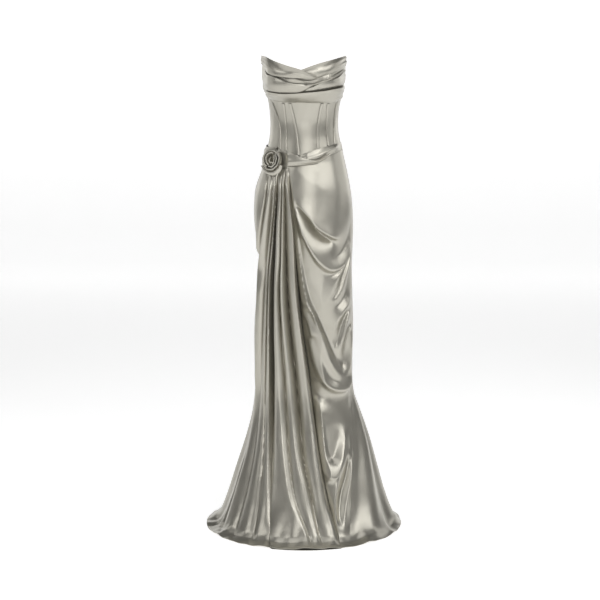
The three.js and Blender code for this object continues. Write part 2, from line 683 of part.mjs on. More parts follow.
// A petal of the rosette: a curved wall that leans out as it rises.
function petalGeometry({ start, sweep, inner, outer, height }) {
  const columns = 8;
  const rows = 2;
  const vertices = [];
  for (const side of [0, PETAL])
    for (let j = 0; j <= rows; j++)
      for (let i = 0; i <= columns; i++) {
        const angle = (start + (sweep * i) / columns) * DEG;
        const rise = j / rows;
        const tip = Math.sin((Math.PI * i) / columns) ** 0.5;
        const radius = mix(inner, outer, rise * rise) - side;
        const z = SEAM_GAP + (height - SEAM_GAP) * rise * mix(0.72, 1, tip);
        vertices.push(radius * Math.cos(angle), radius * Math.sin(angle), z);
      }
  const faces = [];
  const at = (i, j, side) => side * (columns + 1) * (rows + 1) + j * (columns + 1) + i;
  const quad = (a, b, c, d) => faces.push(a, b, c, a, c, d);
  for (let j = 0; j < rows; j++)
    for (let i = 0; i < columns; i++) {
      quad(at(i, j, 0), at(i + 1, j, 0), at(i + 1, j + 1, 0), at(i, j + 1, 0));
      quad(at(i, j + 1, 1), at(i + 1, j + 1, 1), at(i + 1, j, 1), at(i, j, 1));
    }
  for (let i = 0; i < columns; i++) {
    quad(at(i, 0, 1), at(i + 1, 0, 1), at(i + 1, 0, 0), at(i, 0, 0));
    quad(at(i, rows, 0), at(i + 1, rows, 0), at(i + 1, rows, 1), at(i, rows, 1));
  }
  for (let j = 0; j < rows; j++) {
    quad(at(0, j, 0), at(0, j + 1, 0), at(0, j + 1, 1), at(0, j, 1));
    quad(at(columns, j, 1), at(columns, j + 1, 1), at(columns, j + 1, 0), at(columns, j, 0));
  }
  return meshGeometry(vertices, faces);
}

// A group whose own Z looks out of the cloth at a place.
function outwardGroup(x, down, lift) {
  const angle = angleAt(x, down);
  const group = new THREE.Group();
  group.position.copy(standOff(angle, down, lift));
  const outward = standOff(angle, down, lift + 10).sub(group.position).normalize();
  const across = new THREE.Vector3(0, 0, 1).cross(outward).normalize();
  const up = outward.clone().cross(across);
  group.quaternion.setFromRotationMatrix(new THREE.Matrix4().makeBasis(across, up, outward));
  return group;
}

function rosette() {
  const group = outwardGroup(ROSETTE.x, ROSETTE.down, ROSETTE.lift);
  const base = new THREE.CylinderGeometry(BASE.radius, BASE.radius, BASE.thick, 2 * ROUND);
  base.rotateX(Math.PI / 2).translate(0, 0, -BASE.thick / 2);
  group.add(piece("rosette_base", base));
  PETALS.forEach((petal, k) => group.add(piece(`rosette_petal_${k + 1}`, petalGeometry(petal), satin(0.34))));
  return group;
}

function rosetteLoop() {
  const middle = smoothPairs(LOOP.path.map(([x, down], k) => [k, down]));
  const across = smoothPairs(LOOP.path.map(([x], k) => [k, x]));
  const last = LOOP.path.length - 1;
  const step = 0.05;
  const change = (curve, k) => curve(k + step) - curve(k - step);
  const place = (u, v) => {
    const k = u * last;
    const wide = LOOP.width * (v - 0.5) * Math.sin(Math.PI * mix(0.2, 0.8, u));
    const run = new THREE.Vector2(change(across, k), change(middle, k)).setLength(wide);
    const down = middle(k) + run.x;
    return [angleAt(across(k) - run.y, down), down];
  };
  const lift = (angle, down, u, v) => LOOP.lift + LOOP.bulge * 4 * v * (1 - v);
  return piece("rosette_loop", wallGeometry({ columns: 14, rows: 4, place, lift, thickness: SATIN }));
}

// Extrudes a flat profile along the X axis, centred on it.
function alongX(shape, width) {
  const options = { depth: width, bevelEnabled: false, curveSegments: ROUND / 2 };
  const geometry = new THREE.ExtrudeGeometry(shape, options);
  const [x, y, z] = [new THREE.Vector3(1, 0, 0), new THREE.Vector3(0, 1, 0), new THREE.Vector3(0, 0, 1)];
  geometry.translate(0, 0, -width / 2);
  return geometry.applyMatrix4(new THREE.Matrix4().makeBasis(y, z, x));
}

const metal = () =>
  new THREE.MeshStandardMaterial({ color: METAL_COLOUR, roughness: 0.28, metalness: 1 });

function zipTape() {
  const half = ZIP.width / 2 / formAt(0).back;
  const place = (u, v) => [Math.PI + mix(-half, half, u), mix(ZIP.top, ZIP.foot, v)];
  const lift = () => ZIP.lift + ZIP.thick;
  const geometry = wallGeometry({ columns: 2, rows: 22, place, lift, thickness: ZIP.thick });
  return piece("back_zip", geometry, satin(0.45));
}

function solid(geometry) {
  const bare = new THREE.BufferGeometry().setAttribute("position", geometry.getAttribute("position"));
  bare.setIndex(geometry.index);
  const merged = mergeVertices(bare);
  return new wasm.Manifold(
    new wasm.Mesh({
      numProp: 3,
      vertProperties: merged.attributes.position.array,
      triVerts: new Uint32Array(merged.index.array),
    }),
  );
}

function geometryOf(manifold) {
  const mesh = manifold.getMesh();
  const geometry = new THREE.BufferGeometry();
  geometry.setAttribute("position", new THREE.BufferAttribute(mesh.vertProperties, 3));
  geometry.setIndex(new THREE.BufferAttribute(mesh.triVerts, 1));
  geometry.computeVertexNormals();
  return geometry;
}

// The slider's own frame has Y out of the back and Z up, with the pin's axis at its origin.
function zipSlider() {
  const body = new THREE.BoxGeometry(SLIDER.width, SLIDER.depth, SLIDER.height);
  body.translate(0, -PIN.out - SLIDER.depth / 2, 0);
  const ear = new THREE.Shape();
  ear.moveTo(-PIN.out - 1, -PIN.earRadius);
  ear.lineTo(0, -PIN.earRadius);
  ear.absarc(0, 0, PIN.earRadius, -Math.PI / 2, Math.PI / 2, false);
  ear.lineTo(-PIN.out - 1, PIN.earRadius);
  const pin = new THREE.CylinderGeometry(PIN.radius, PIN.radius, SLIDER.width - PIN.ear, ROUND);
  pin.rotateZ(Math.PI / 2);
  let joined = solid(body).add(solid(pin));
  for (const side of [-1, 1]) {
    const plate = alongX(ear, PIN.ear);
    plate.translate((side * (SLIDER.width - PIN.ear)) / 2, 0, 0);
    joined = joined.add(solid(plate));
  }
  return piece("zip_slider", geometryOf(joined), metal());
}

function zipPullTab() {
  const half = PULL.thick / 2;
  const meets = Math.acos(half / PULL.eye);
  const profile = new THREE.Shape();
  profile.moveTo(-half, -PULL.length);
  profile.lineTo(half, -PULL.length);
  profile.absarc(0, 0, PULL.eye, -meets, Math.PI + meets, false);
  const bore = new THREE.Path();
  bore.absarc(0, 0, PULL.bore, 0, 2 * Math.PI, true);
  profile.holes.push(bore);
  return piece("zip_pull_tab", alongX(profile, PULL.width), metal());
}

function zipFittings() {
  const group = new THREE.Group();
  const surface = onForm(Math.PI, SLIDER.down);
  group.position.set(0, surface.y + ZIP.lift + ZIP.thick + SLIDER.clear + SLIDER.depth + PIN.out, surface.z);
  group.add(zipSlider(), zipPullTab());
  return group;
}

function skirt() {
  const right = (angle, down) => rightField(angle, down) * settled(down) * clearOfCascade(angle, down);
  const left = (angle, down) => leftField(angle, down) * settled(down) * clearOfCascade(angle, down);
  const [backLeft, backRight] = [BACK_LEFT_FLUTES, BACK_RIGHT_FLUTES].map((flutes) => {
    const field = fluteField(flutes);
    return (angle, down, u) => field(u, down) * settled(down);
  });
  const rightSeam = () => RIGHT_SEAM_ANGLE * DEG;
  const backSeam = (side) => () => side * Math.PI;
  const gores = [
    { name: "skirt_front_right", first: rightSeam, last: underAngle, columns: 8, lift: right },
    { name: "skirt_back_left", first: leftSeamAngle, last: backSeam(1), columns: 12, lift: backLeft },
    { name: "skirt_back_right", first: backSeam(-1), last: rightSeam, columns: 10, lift: backRight },
  ].map(({ name, ...rest }) => gore(name, { ...rest, rows: ROWS }));
  const swags = gore("skirt_front_left", {
    first: underAngle,
    last: (down) => leftSeamAngle(down) - SWAG_EASE / formAt(down).front,
    columns: 14,
    rows: 2 * ROWS,
    lift: left,
    rowDrop: (u, v) => swagRow(u) * swagRowStrength(v),
  });
  return [...gores, swags];
}

function build() {
  const gown = new THREE.Group();
  CORSET_PANELS.forEach((name, k) => gown.add(corsetPanel(name, k)));
  CORSET_SEAMS.forEach((seam, k) => gown.add(boneCasing(seam, k)));
  for (const fold of BUST_FOLDS) gown.add(frontStrip(fold, { columns: 16, rows: 3, sign: -1 }));
  for (const strip of SASH) gown.add(frontStrip(strip, { columns: 12, rows: 3, sign: 1, cups: false }));
  gown.add(sashBack("sash_back_left", SASH_BACK[0].angle, -180 - SASH_SPLIT, 10));
  gown.add(sashBack("sash_back_right", -180 + SASH_SPLIT, SASH_BACK.at(-1).angle, 14));
  gown.add(...skirt(), cascade());
  gown.add(rosette(), rosetteLoop(), zipTape(), zipFittings());
  return gown;
}

export default build();
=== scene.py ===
# %% [markdown]
# # A strapless evening gown in draped satin
# The gown is cut from one sage and champagne coloured satin: a boned corset, a bust draped in
# folds, a twisted hip sash with a rolled rosette, a cascade of folds and a skirt of swags. The
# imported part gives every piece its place, so we load it first and never move it.

import math

import bpy
import numpy as np
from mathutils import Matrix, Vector


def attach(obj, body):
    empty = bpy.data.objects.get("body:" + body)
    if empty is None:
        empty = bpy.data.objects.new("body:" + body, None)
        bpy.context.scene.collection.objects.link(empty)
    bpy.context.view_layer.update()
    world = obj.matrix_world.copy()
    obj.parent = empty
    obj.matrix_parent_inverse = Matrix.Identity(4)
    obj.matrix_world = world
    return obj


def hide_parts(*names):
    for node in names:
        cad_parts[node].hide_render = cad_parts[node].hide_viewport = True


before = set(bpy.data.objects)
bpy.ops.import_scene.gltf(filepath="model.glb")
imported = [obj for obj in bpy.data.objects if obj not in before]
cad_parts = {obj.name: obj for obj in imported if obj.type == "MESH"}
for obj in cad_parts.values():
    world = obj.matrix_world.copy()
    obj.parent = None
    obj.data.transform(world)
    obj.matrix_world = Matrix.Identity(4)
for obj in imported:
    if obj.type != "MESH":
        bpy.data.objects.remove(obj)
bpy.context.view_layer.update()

# %% [markdown]
# ## The form under the cloth
# A gown takes its shape from the body inside it. We describe that smooth form by its half widths
# and depths at each distance down from the waist, and lay every piece of satin on it. Places on
# the cloth are an angle round the wearer and a distance down along the cloth, in millimetres.

# %% The smooth form
MM = 0.001
DEG = math.pi / 180
WAIST_RADIUS = 88
# down, height, half width right, half width left, depth front, depth back
FORM = np.array([
    (-200, 200, 119, 119, 106, 90),
    (-150, 150, 120, 120, 112, 92),
    (-110, 110, 115, 115, 112, 91),
    (-66, 66, 107, 108, 104, 87),
    (-30, 30, 102, 102, 94, 85),
    (0, 0, 100, 100, 88, 84),
    (40, -40, 101, 102, 88, 87),
    (75, -75, 107, 110, 92, 96),
    (110, -110, 115, 118, 97, 107),
    (150, -150, 127, 127, 102, 117),
    (195, -195, 143, 136, 106, 123),
    (240, -240, 148, 142, 107, 125),
    (300, -300, 148, 145, 106, 121),
    (375, -375, 138, 144, 103, 113),
    (425, -425, 131, 142, 101, 108),
    (510, -510, 141, 144, 100, 105),
    (610, -610, 149, 147, 100, 105),
    (720, -720, 149, 145, 102, 108),
    (810, -810, 147, 147, 108, 116),
    (880, -880, 153, 164, 122, 134),
    (960, -960, 170, 186, 146, 158),
    (1050, -1050, 196, 208, 175, 186),
    (1140, -1140, 224, 232, 206, 216),
    (1185, -1184, 240, 247, 226, 234),
    (1210, -1206, 251, 258, 240, 247),
    (1226, -1216.5, 263, 269, 253, 260),
    (1242, -1220, 278, 281, 268, 276),
    (1262, -1220.5, 297, 296, 288, 300),
], float)
HEM = FORM[-1, 0]
FLOOR = -1222.0


def curve(xs, ys):
    """A smooth value between the rows of a table."""
    xs, ys = np.asarray(xs, float), np.asarray(ys, float)
    slopes = np.gradient(ys, xs)

    def at(x):
        x = np.clip(x, xs[0], xs[-1])
        k = np.clip(np.searchsorted(xs, x, side="right") - 1, 0, len(xs) - 2)
        step = xs[k + 1] - xs[k]
        t = (x - xs[k]) / step
        near = (1 + 2 * t) * (1 - t) ** 2 * ys[k] + t * (1 - t) ** 2 * step * slopes[k]
        far = t * t * (3 - 2 * t) * ys[k + 1] + t * t * (t - 1) * step * slopes[k + 1]
        return near + far

    return at


def pairs(rows):
    """A smooth value from a table of two columns."""
    rows = np.array(rows, float)
    return curve(rows[:, 0], rows[:, 1])


FORM_AT = [curve(FORM[:, 0], FORM[:, k]) for k in range(1, 6)]


def half_width(sign, down):
    """Half width of the form to the wearer's right (a negative sign) or left."""
    return np.where(sign < 0, FORM_AT[1](down), FORM_AT[2](down))


def angle_at(x, down):
    """Angle round the wearer of a place x across the front."""
    return np.arcsin(np.clip(x / half_width(x, down), -1, 1))


def on_form(angle, down):
    """Places on the form, four quarter ellipses at each height."""
    height, right, left, front, back = [column(down) for column in FORM_AT]
    across, ahead = np.sin(angle), np.cos(angle)
    x = across * np.where(across < 0, right, left)
    y = -ahead * np.where(ahead > 0, front, back)
    return np.stack([x, y, height + 0 * x], -1)


def stand_off(angle, down, lift):
    """Places that stand off the form along its outward normal."""
    around = on_form(angle + 0.02, down) - on_form(angle - 0.02, down)
    along = on_form(angle, np.minimum(down + 1, HEM)) - on_form(angle, down - 1)
    outward = np.cross(along, around)
    outward /= np.linalg.norm(outward, axis=-1, keepdims=True)
    return on_form(angle, down) + outward * np.asarray(lift)[..., None]


def ease(t):
    """From 0 to 1 with a soft start and end."""
    t = np.clip(t, 0, 1)
    return t * t * (3 - 2 * t)


def mix(a, b, t):
    return a + (b - a) * t


# %% [markdown]
# ## Shader values that behave like numbers
# A node material is a sum of small patterns. This class wraps a node's output, so that patterns
# can be added and multiplied as numbers are, and the material reads like a formula.

# %% Node helpers
class Wire:
    """A node output with arithmetic."""

    def __init__(self, tree, socket):
        self.tree, self.socket = tree, socket

    def calc(self, kind, *values):
        node = self.tree.nodes.new("ShaderNodeMath")
        node.operation = kind
        for slot, value in zip(node.inputs, values):
            plug(self.tree, value, slot)
        return Wire(self.tree, node.outputs[0])

    def __add__(self, other):
        return self.calc("ADD", self, other)

    def __mul__(self, other):
        return self.calc("MULTIPLY", self, other)

    def sine(self):
        return self.calc("SINE", self)

    __radd__, __rmul__ = __add__, __mul__


def plug(tree, value, slot):
    """A wire is linked to the input; a plain value is set on it."""
    if isinstance(value, Wire):
        tree.links.new(value.socket, slot)
    else:
        slot.default_value = value


# a Mix node keeps a socket for each type of data: these are the factor and the colours
MIX_INPUTS, MIX_RESULT = (0, 6, 7), 2


class Shade:
    """A material under construction."""

    def __init__(self, name):
        self.material = bpy.data.materials.new(name)
        self.material.use_nodes = True
        self.tree = self.material.node_tree
        self.shader = self.tree.nodes["Principled BSDF"]

    def node(self, kind, out=0, **inputs):
        """Any other node; an underscore in an input's name stands for a space."""
        made = self.tree.nodes.new("ShaderNode" + kind)
        for name, value in inputs.items():
            plug(self.tree, value, made.inputs[name.replace("_", " ")])
        return Wire(self.tree, made.outputs[out])

    def colour(self, factor, first, second):
        """A mix of two colours."""
        made = self.tree.nodes.new("ShaderNodeMix")
        made.data_type = "RGBA"
        for slot, value in zip(MIX_INPUTS, (factor, first, second)):
            plug(self.tree, value, made.inputs[slot])
        return Wire(self.tree, made.outputs[MIX_RESULT])

    def place(self, kind):
        """Where a point lies: by the cloth's own UV or in the object's space."""
        return self.node("TexCoord", out=kind)

    def split(self, vector):
        made = self.tree.nodes.new("ShaderNodeSeparateXYZ")
        plug(self.tree, vector, made.inputs[0])
        return [Wire(self.tree, out) for out in made.outputs]

    def finish(self, **sockets):
        for name, value in sockets.items():
            plug(self.tree, value, self.shader.inputs[name.replace("_", " ")])
        return self.material


# %% [markdown]
# ## Satin
# Satin floats its warp threads over the weft, so its face shines along the folds. The sheen comes
# from a part-metallic shader with a middling roughness. Fine threads, soft creases left by handling
# and slow changes of tone keep it from looking like plastic. The threads run along the cloth's own
# UV, which is measured in metres.

# %% The satin material
DARK, PALE = (0.415, 0.398, 0.342, 1), (0.5, 0.481, 0.422, 1)
# the thread pattern along the cloth's width and length, in radians to the metre
THREADS = {"across": 9000, "along": 5200}
# how much each pattern raises the cloth, in metres
RAISED = {"handled": 0.0007, "crushed": 0.00001, "threads": 0.000003}
BUMP_STRENGTH = 0.45
ROUGHNESS = {"least": 0.27, "varies": 0.08}


def satin():
    shade = Shade("satin")
    u, v, _ = shade.split(shade.place("UV"))
    solid = shade.place("Object")
    threads = (u * THREADS["across"]).sine() * 0.5 + (v * THREADS["along"]).sine() * 0.25
    slow = shade.node("TexNoise", Vector=solid, Scale=9.0, Detail=2.0)
    handled = shade.node("TexNoise", Vector=solid, Scale=38.0, Detail=1.0, Roughness=0.4)
    crushed = shade.node("TexNoise", Vector=solid, Scale=210.0, Detail=1.0)
    height = handled * RAISED["handled"] + crushed * RAISED["crushed"] + threads * RAISED["threads"]
    return shade.finish(
        Base_Color=shade.colour(slow, DARK, PALE),
        Metallic=0.8,
        Roughness=handled * ROUGHNESS["varies"] + ROUGHNESS["least"],
        Normal=shade.node("Bump", Strength=BUMP_STRENGTH, Distance=1.0, Height=height),
    )


SATIN = satin()
print("satin nodes:", len(SATIN.node_tree.nodes))

# %% [markdown]
# ## Laying a sheet
# Each cut piece starts as a flat grid, as it did on the cutting table. Its points are moved to
# their places on the form, its UV is measured along its own threads, and a thin Solidify gives it
# the thickness of cloth. The length and width measured along the threads are the size that it is
# cut to.

# %% Sheets of cloth
SMOOTH_ANGLE = 60


def select_only(obj):
    bpy.ops.object.select_all(action="DESELECT")
    obj.select_set(True)
    bpy.context.view_layer.objects.active = obj


def grid_object(name, points, thick):
    """A cloth grid from its points in millimetres, rows down and columns round; its size and area."""
    points = np.asarray(points)[::-1] * MM
    rows, columns = points.shape[:2]
    bpy.ops.object.select_all(action="DESELECT")
    bpy.ops.mesh.primitive_grid_add(x_subdivisions=columns - 1, y_subdivisions=rows - 1, size=1)
    obj = bpy.context.object
    obj.name = obj.data.name = name
    obj.data.vertices.foreach_set("co", points.astype(np.float32).ravel())
    # the UV runs along the threads, from the middle column and the first row
    along = np.linalg.norm(np.diff(points, axis=1), axis=2)
    down = np.linalg.norm(np.diff(points, axis=0), axis=2)
    u = np.concatenate([np.zeros((rows, 1)), np.cumsum(along, 1)], 1)
    u -= u[:, columns // 2 : columns // 2 + 1]
    v = np.concatenate([np.zeros((1, columns)), np.cumsum(down, 0)], 0)
    flat = np.stack([u, v], -1).reshape(-1, 2)
    corner = np.zeros(len(obj.data.loops), np.int32)
    obj.data.loops.foreach_get("vertex_index", corner)
    obj.data.uv_layers.active.data.foreach_set("uv", flat[corner].astype(np.float32).ravel())
    obj.data.update()
    select_only(obj)
    bpy.ops.object.modifier_add(type="SOLIDIFY")
    obj.modifiers[-1].thickness = thick * MM
    obj.modifiers[-1].offset = -1
    bpy.ops.object.modifier_apply(modifier=obj.modifiers[-1].name)
    bpy.ops.object.shade_smooth_by_angle(angle=math.radians(SMOOTH_ANGLE))
    obj.data.materials.append(SATIN)
    size = (float(along.sum(1).max()), float(down.sum(0).max()))
    mean = (along[:-1] + along[1:]) / 2
    tall = (down[:, :-1] + down[:, 1:]) / 2
    return obj, size, float((mean * tall).sum())


def stand_for(obj, node):
    """The piece moves with the gown and takes the node's place."""
    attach(obj, "gown")
    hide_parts(node)


def sheet(node, points, thick=1.1, flat=None, name=None):
    """A cut piece of satin that stands for a node of the part."""
    name = name or "satin_" + node
    obj, size, area = grid_object(name, points, thick)
    stand_for(obj, node)
    flat = flat or tuple(math.ceil(side * 100) / 100 for side in size)
    print(f"{name}: cut {flat[0]:.2f} by {flat[1]:.2f} m, {len(obj.data.polygons)} faces")


def spread(columns, rows):
    """Shares across and down for a grid, as two arrays."""
    return np.meshgrid(np.linspace(0, 1, columns), np.linspace(0, 1, rows))


# %% [markdown]
# ## The corset
# Eleven panels are sewn edge to edge and stiffened by bones, each in a narrow casing over its seam.
# The cups push the front panels out, so every layer on the bust is lifted by the same amount. Small
# diagonal pulls show where the cloth strains from the bust to the waist.

# %% Corset panels
# angle, top, foot
CORSET_EDGES = np.array([
    (-180, -112, 84), (-120, -128, 86), (-92, -166, 96), (-75, -172, 104), (-40, -150, 116),
    (0, -128, 118), (40, -150, 100), (75, -172, 86), (92, -166, 82), (120, -128, 82), (180, -112, 84),
], float)
SEAM_STATIONS = (-200, -66, 0, 130)
# name, angles at the stations
CORSET_SEAMS = [
    ("back_right", (-147, -148, -150, -150)),
    ("side_back_right", (-104, -106, -108, -108)),
    ("side_front_right", (-68, -64, -49, -38)),
    ("mid_front_right", (-48, -36, -34, -27)),
    ("front_right", (-32, -25, -17, -7)),
    ("front_left", (32, 30, 25, 18)),
    ("mid_front_left", (48, 41, 42, 38)),
    ("side_front_left", (68, 64, 62, 50)),
    ("side_back_left", (104, 106, 108, 108)),
    ("back_left", (147, 148, 150, 150)),
]
CORSET_PANELS = [
    "corset_centre_back_right", "corset_side_back_right", "corset_side_right",
    "corset_side_front_right", "corset_mid_front_right", "corset_centre_front",
    "corset_mid_front_left", "corset_side_front_left", "corset_side_left",
    "corset_side_back_left", "corset_centre_back_left",
]
CUP = {"across": 62, "down": -112, "lift": 13, "spread": 42}
SEAM_GAP = 0.3
PANEL_GRID = {"least": 12, "radius": 90, "step": 3.5, "rows": 64}
# how far the seams are pulled in, over what share of the panel, and the height of the strains
STRAIN = {"seam": 0.8, "reach": 0.16, "pull": 0.45}
corset_top = curve(CORSET_EDGES[:, 0], CORSET_EDGES[:, 1])
corset_foot = curve(CORSET_EDGES[:, 0], CORSET_EDGES[:, 2])


def cup_lift(angle, down):
    """How far the cups push the cloth out."""
    x = on_form(angle, down)[..., 0]
    below = (down - CUP["down"]) / CUP["spread"]
    beside = (np.abs(x) - CUP["across"]) / CUP["spread"]
    return np.where(np.cos(angle) > 0, CUP["lift"] * np.exp(-below * below - beside * beside), 0)


def seam_line(angles):
    """A seam as a function that gives its angle at each distance down."""
    line = curve(SEAM_STATIONS, angles)
    return lambda down: line(down) * DEG


def back_seam(side):
    """The middle of the back, reached round the wearer's right (-1) or left (1)."""
    return lambda down: side * math.pi + 0 * down


SEAM_LINES = [back_seam(-1)] + [seam_line(angles) for _, angles in CORSET_SEAMS] + [back_seam(1)]


def between(first, last, top, foot, u, v, ease_in=0.0):
    """Angles and downs of a panel between two seams and two edges."""
    angle = mix(first(0.0), last(0.0), u)
    for _ in range(8):
        down = mix(top(angle / DEG), foot(angle / DEG), v)
        angle = mix(first(down) + ease_in, last(down) - ease_in, u)
    return angle, down


print(len(CORSET_PANELS), "panels and", len(CORSET_SEAMS), "seams")

# %% [markdown]
# ## Bones under their casings
# A bone lies under each seam in a strip of satin that is stitched down along both its edges. The
# strip is domed over the bone, and the stitching pulls its edges in.

# %% Bone casings
CASING = {
    "width": 8, "thick": 0.5, "lift": 1.0, "dome": 1.6, "stitch": 0.25, "stitch_step": 2.6,
    "front_top": -51, "back_top": 2, "back_foot": 60, "above": 3,
}
FRONT_SEAMS = 80
SASH_WIDTH, TWIST_END = 104, -14
SASH_STRIPS = [
    {
        "name": "sash_upper",
        "upper": [(-14, 100), (14, 87), (43, 79), (72, 72), (92, 68), (104, 68)],
        "lower": [(-14, 112), (14, 118), (43, 114), (58, 104), (80, 94), (104, 84)],
        "lifts": (5, 10, 6),
        "ends": (2.2, 2.2),
    },
    {
        "name": "sash_lower",
        "upper": [(-66, 84), (-43, 90), (-14, 102), (14, 111), (34, 111), (58, 101), (66, 94)],
        "lower": [(-66, 128), (-43, 129), (-14, 127), (14, 124), (43, 118), (58, 109), (66, 103)],
        "lifts": (9, 15, 13),
        "ends": (2.2,),
    },
]


def sash_top(angle):
    """How far down the sash begins at an angle."""
    x = SASH_WIDTH * math.sin(angle)
    edges = [float(pairs(strip["upper"])(x)) for strip in SASH_STRIPS]
    return edges[1] if x < TWIST_END else min(edges)


def bone_casing(k):
    """The casing over the seam between panel k - 1 and panel k."""
    name, line = CORSET_SEAMS[k - 1][0], SEAM_LINES[k]
    here = float(line(0.0)) / DEG
    top, foot = float(corset_top(here)) + CASING["back_top"], CASING["back_foot"]
    if abs(here) < FRONT_SEAMS:
        top = CASING["front_top"]
        foot = min(sash_top(float(line(80.0))), float(corset_foot(here))) - CASING["above"]
    u, v = spread(13, 60)
    down = mix(top, foot, v)
    half = CASING["width"] / 2 / WAIST_RADIUS
    dome = CASING["dome"] * (1 - (2 * u - 1) ** 4)
    wave = CASING["stitch"] * np.cos(down * 2 * math.pi / CASING["stitch_step"])
    stitch = wave * np.exp(-(((np.abs(2 * u - 1) - 0.8) / 0.1) ** 2))
    lift = cup_lift(line(down) + 0 * u, down) + CASING["lift"] + dome + stitch
    points = stand_off(line(down) + mix(-half, half, u), down, lift)
    obj, _, _ = grid_object("satin_casing_" + name, points, CASING["thick"])
    stand_for(obj, "casing_" + name)
    return obj


# %% [markdown]
# ## Sewing the panels
# Each panel is made with the casing over its seam. The seams are pulled in a little, and the cloth
# strains in small diagonal waves.

# %% Corset
def panel_foot(angle):
    return corset_foot(angle) - SEAM_GAP


def corset_panels():
    half = SEAM_GAP / 2 / WAIST_RADIUS
    for k, node in enumerate(CORSET_PANELS):
        first, last = SEAM_LINES[k], SEAM_LINES[k + 1]
        round_it = abs(last(0.0) - first(0.0)) * PANEL_GRID["radius"]
        columns = max(PANEL_GRID["least"], int(round_it / PANEL_GRID["step"]))
        u, v = spread(columns, PANEL_GRID["rows"])
        angle, down = between(first, last, corset_top, panel_foot, u, v, half)
        tight = STRAIN["seam"] * np.exp(-((u * (1 - u) * 4 / STRAIN["reach"]) ** 2))
        pull = STRAIN["pull"] * np.sin(down / 9 + 26 * u + 3 * k) * ease((40 - down) / 90)
        pull = pull * ease(u * 6) * ease((1 - u) * 6)
        lift = cup_lift(angle, down) - tight + pull * np.sin(down / 31 + k)
        on_it = [bone_casing(k)] if k else []
        sheet(node, stand_off(angle, down, lift), thick=1.2)


corset_panels()

# %% [markdown]
# ## A film over fold lines
# Satin that hangs between its folds is stretched like a soap film. For the swags we draw only the
# lines where the cloth stands out (crests) or sinks in (valleys), give each line its lifts, and let
# a relaxed film fill the rest. A crest may also lean over its valley, as the lip of a swag does.
# The film is solved on coarse grids first, because long smooth slopes settle fastest there.

# %% The film
# angles round and top of the film, its cells, and how it is solved and smoothed
FILM = {
    "first": -38, "last": 84, "top": 118, "columns": 288, "rows": 560,
    "scales": (8, 4, 2, 1), "turns": 90, "over": 1.7, "blur": 1.7,
}
# share of a fold line, at both its ends, over which its lean and its grip on the film grow
LEAN_GROWS, GRIP_GROWS = 0.15, 0.2


def smooth_path(path, steps):
    """A path through points, drawn as a smooth line with so many places for each point."""
    path = np.array(path, float)
    run = np.concatenate([[0], np.cumsum(np.hypot(*np.diff(path, axis=0).T))])
    at = np.linspace(0, run[-1], steps * len(path))
    return np.stack([curve(run, path[:, 0])(at), curve(run, path[:, 1])(at)], 1)


def film_place(angle, down, columns, rows):
    """Column and row of a film with so many of them, at places on the form."""
    k = (angle / DEG - FILM["first"]) / (FILM["last"] - FILM["first"]) * (columns - 1)
    return k, (down - FILM["top"]) / (HEM - FILM["top"]) * (rows - 1)


def film_cells(path, lifts, lean, columns, rows):
    """The cells of the film under a fold line, with the grip, lift and lean in each."""
    line = smooth_path(path, 60)
    x, down = line.T
    share = np.linspace(0, 1, len(x))
    lift = curve(np.linspace(0, 1, len(lifts)), lifts)(share)
    run_x, run_d = np.gradient(x), np.gradient(down)
    size = np.hypot(run_x, run_d)
    fade = lean * ease(share / LEAN_GROWS) * ease((1 - share) / LEAN_GROWS)
    grip = (ease(share / GRIP_GROWS + 0.1) * ease((1 - share) / GRIP_GROWS + 0.1)) ** 3
    k, r = film_place(angle_at(x, down), down, columns, rows)
    k = np.clip(np.round(k), 0, columns - 1).astype(int)
    r = np.clip(np.round(r), 0, rows - 1).astype(int)
    return r, k, grip, np.stack([lift, -fade * run_d / size, fade * run_x / size], 1)


def relax(field, grip, values, weight):
    """Successive relaxation of a film towards the cells that its lines grip."""
    rows, columns = grip.shape
    hold = grip[..., None]
    colour = (np.add.outer(np.arange(rows), np.arange(columns)) % 2).astype(bool)
    for _ in range(FILM["turns"]):
        for part in (colour, ~colour):
            padded = np.pad(field, ((1, 1), (1, 1), (0, 0)), mode="edge")
            beside = padded[1:-1, :-2] + padded[1:-1, 2:]
            along = padded[:-2, 1:-1] + padded[2:, 1:-1]
            mean = (weight * beside + along) / (2 * weight + 2)
            moved = field + mix(FILM["over"], 1.0, hold) * (mix(mean, values, hold) - field)
            field = np.where(part[..., None], moved, field)
    return field


def blur(field, size):
    """A soft blur, size cells wide, along both sides of a field."""
    reach = int(3 * size) + 1
    weights = np.exp(-0.5 * (np.arange(-reach, reach + 1) / size) ** 2)
    weights /= weights.sum()
    for axis in (0, 1):
        pad = [(0, 0)] * 3
        pad[axis] = (reach, reach)
        padded = np.pad(field, pad, mode="edge")
        count = field.shape[axis]
        parts = [w * np.take(padded, range(k, k + count), axis) for k, w in enumerate(weights)]
        field = np.sum(parts, 0)
    return field


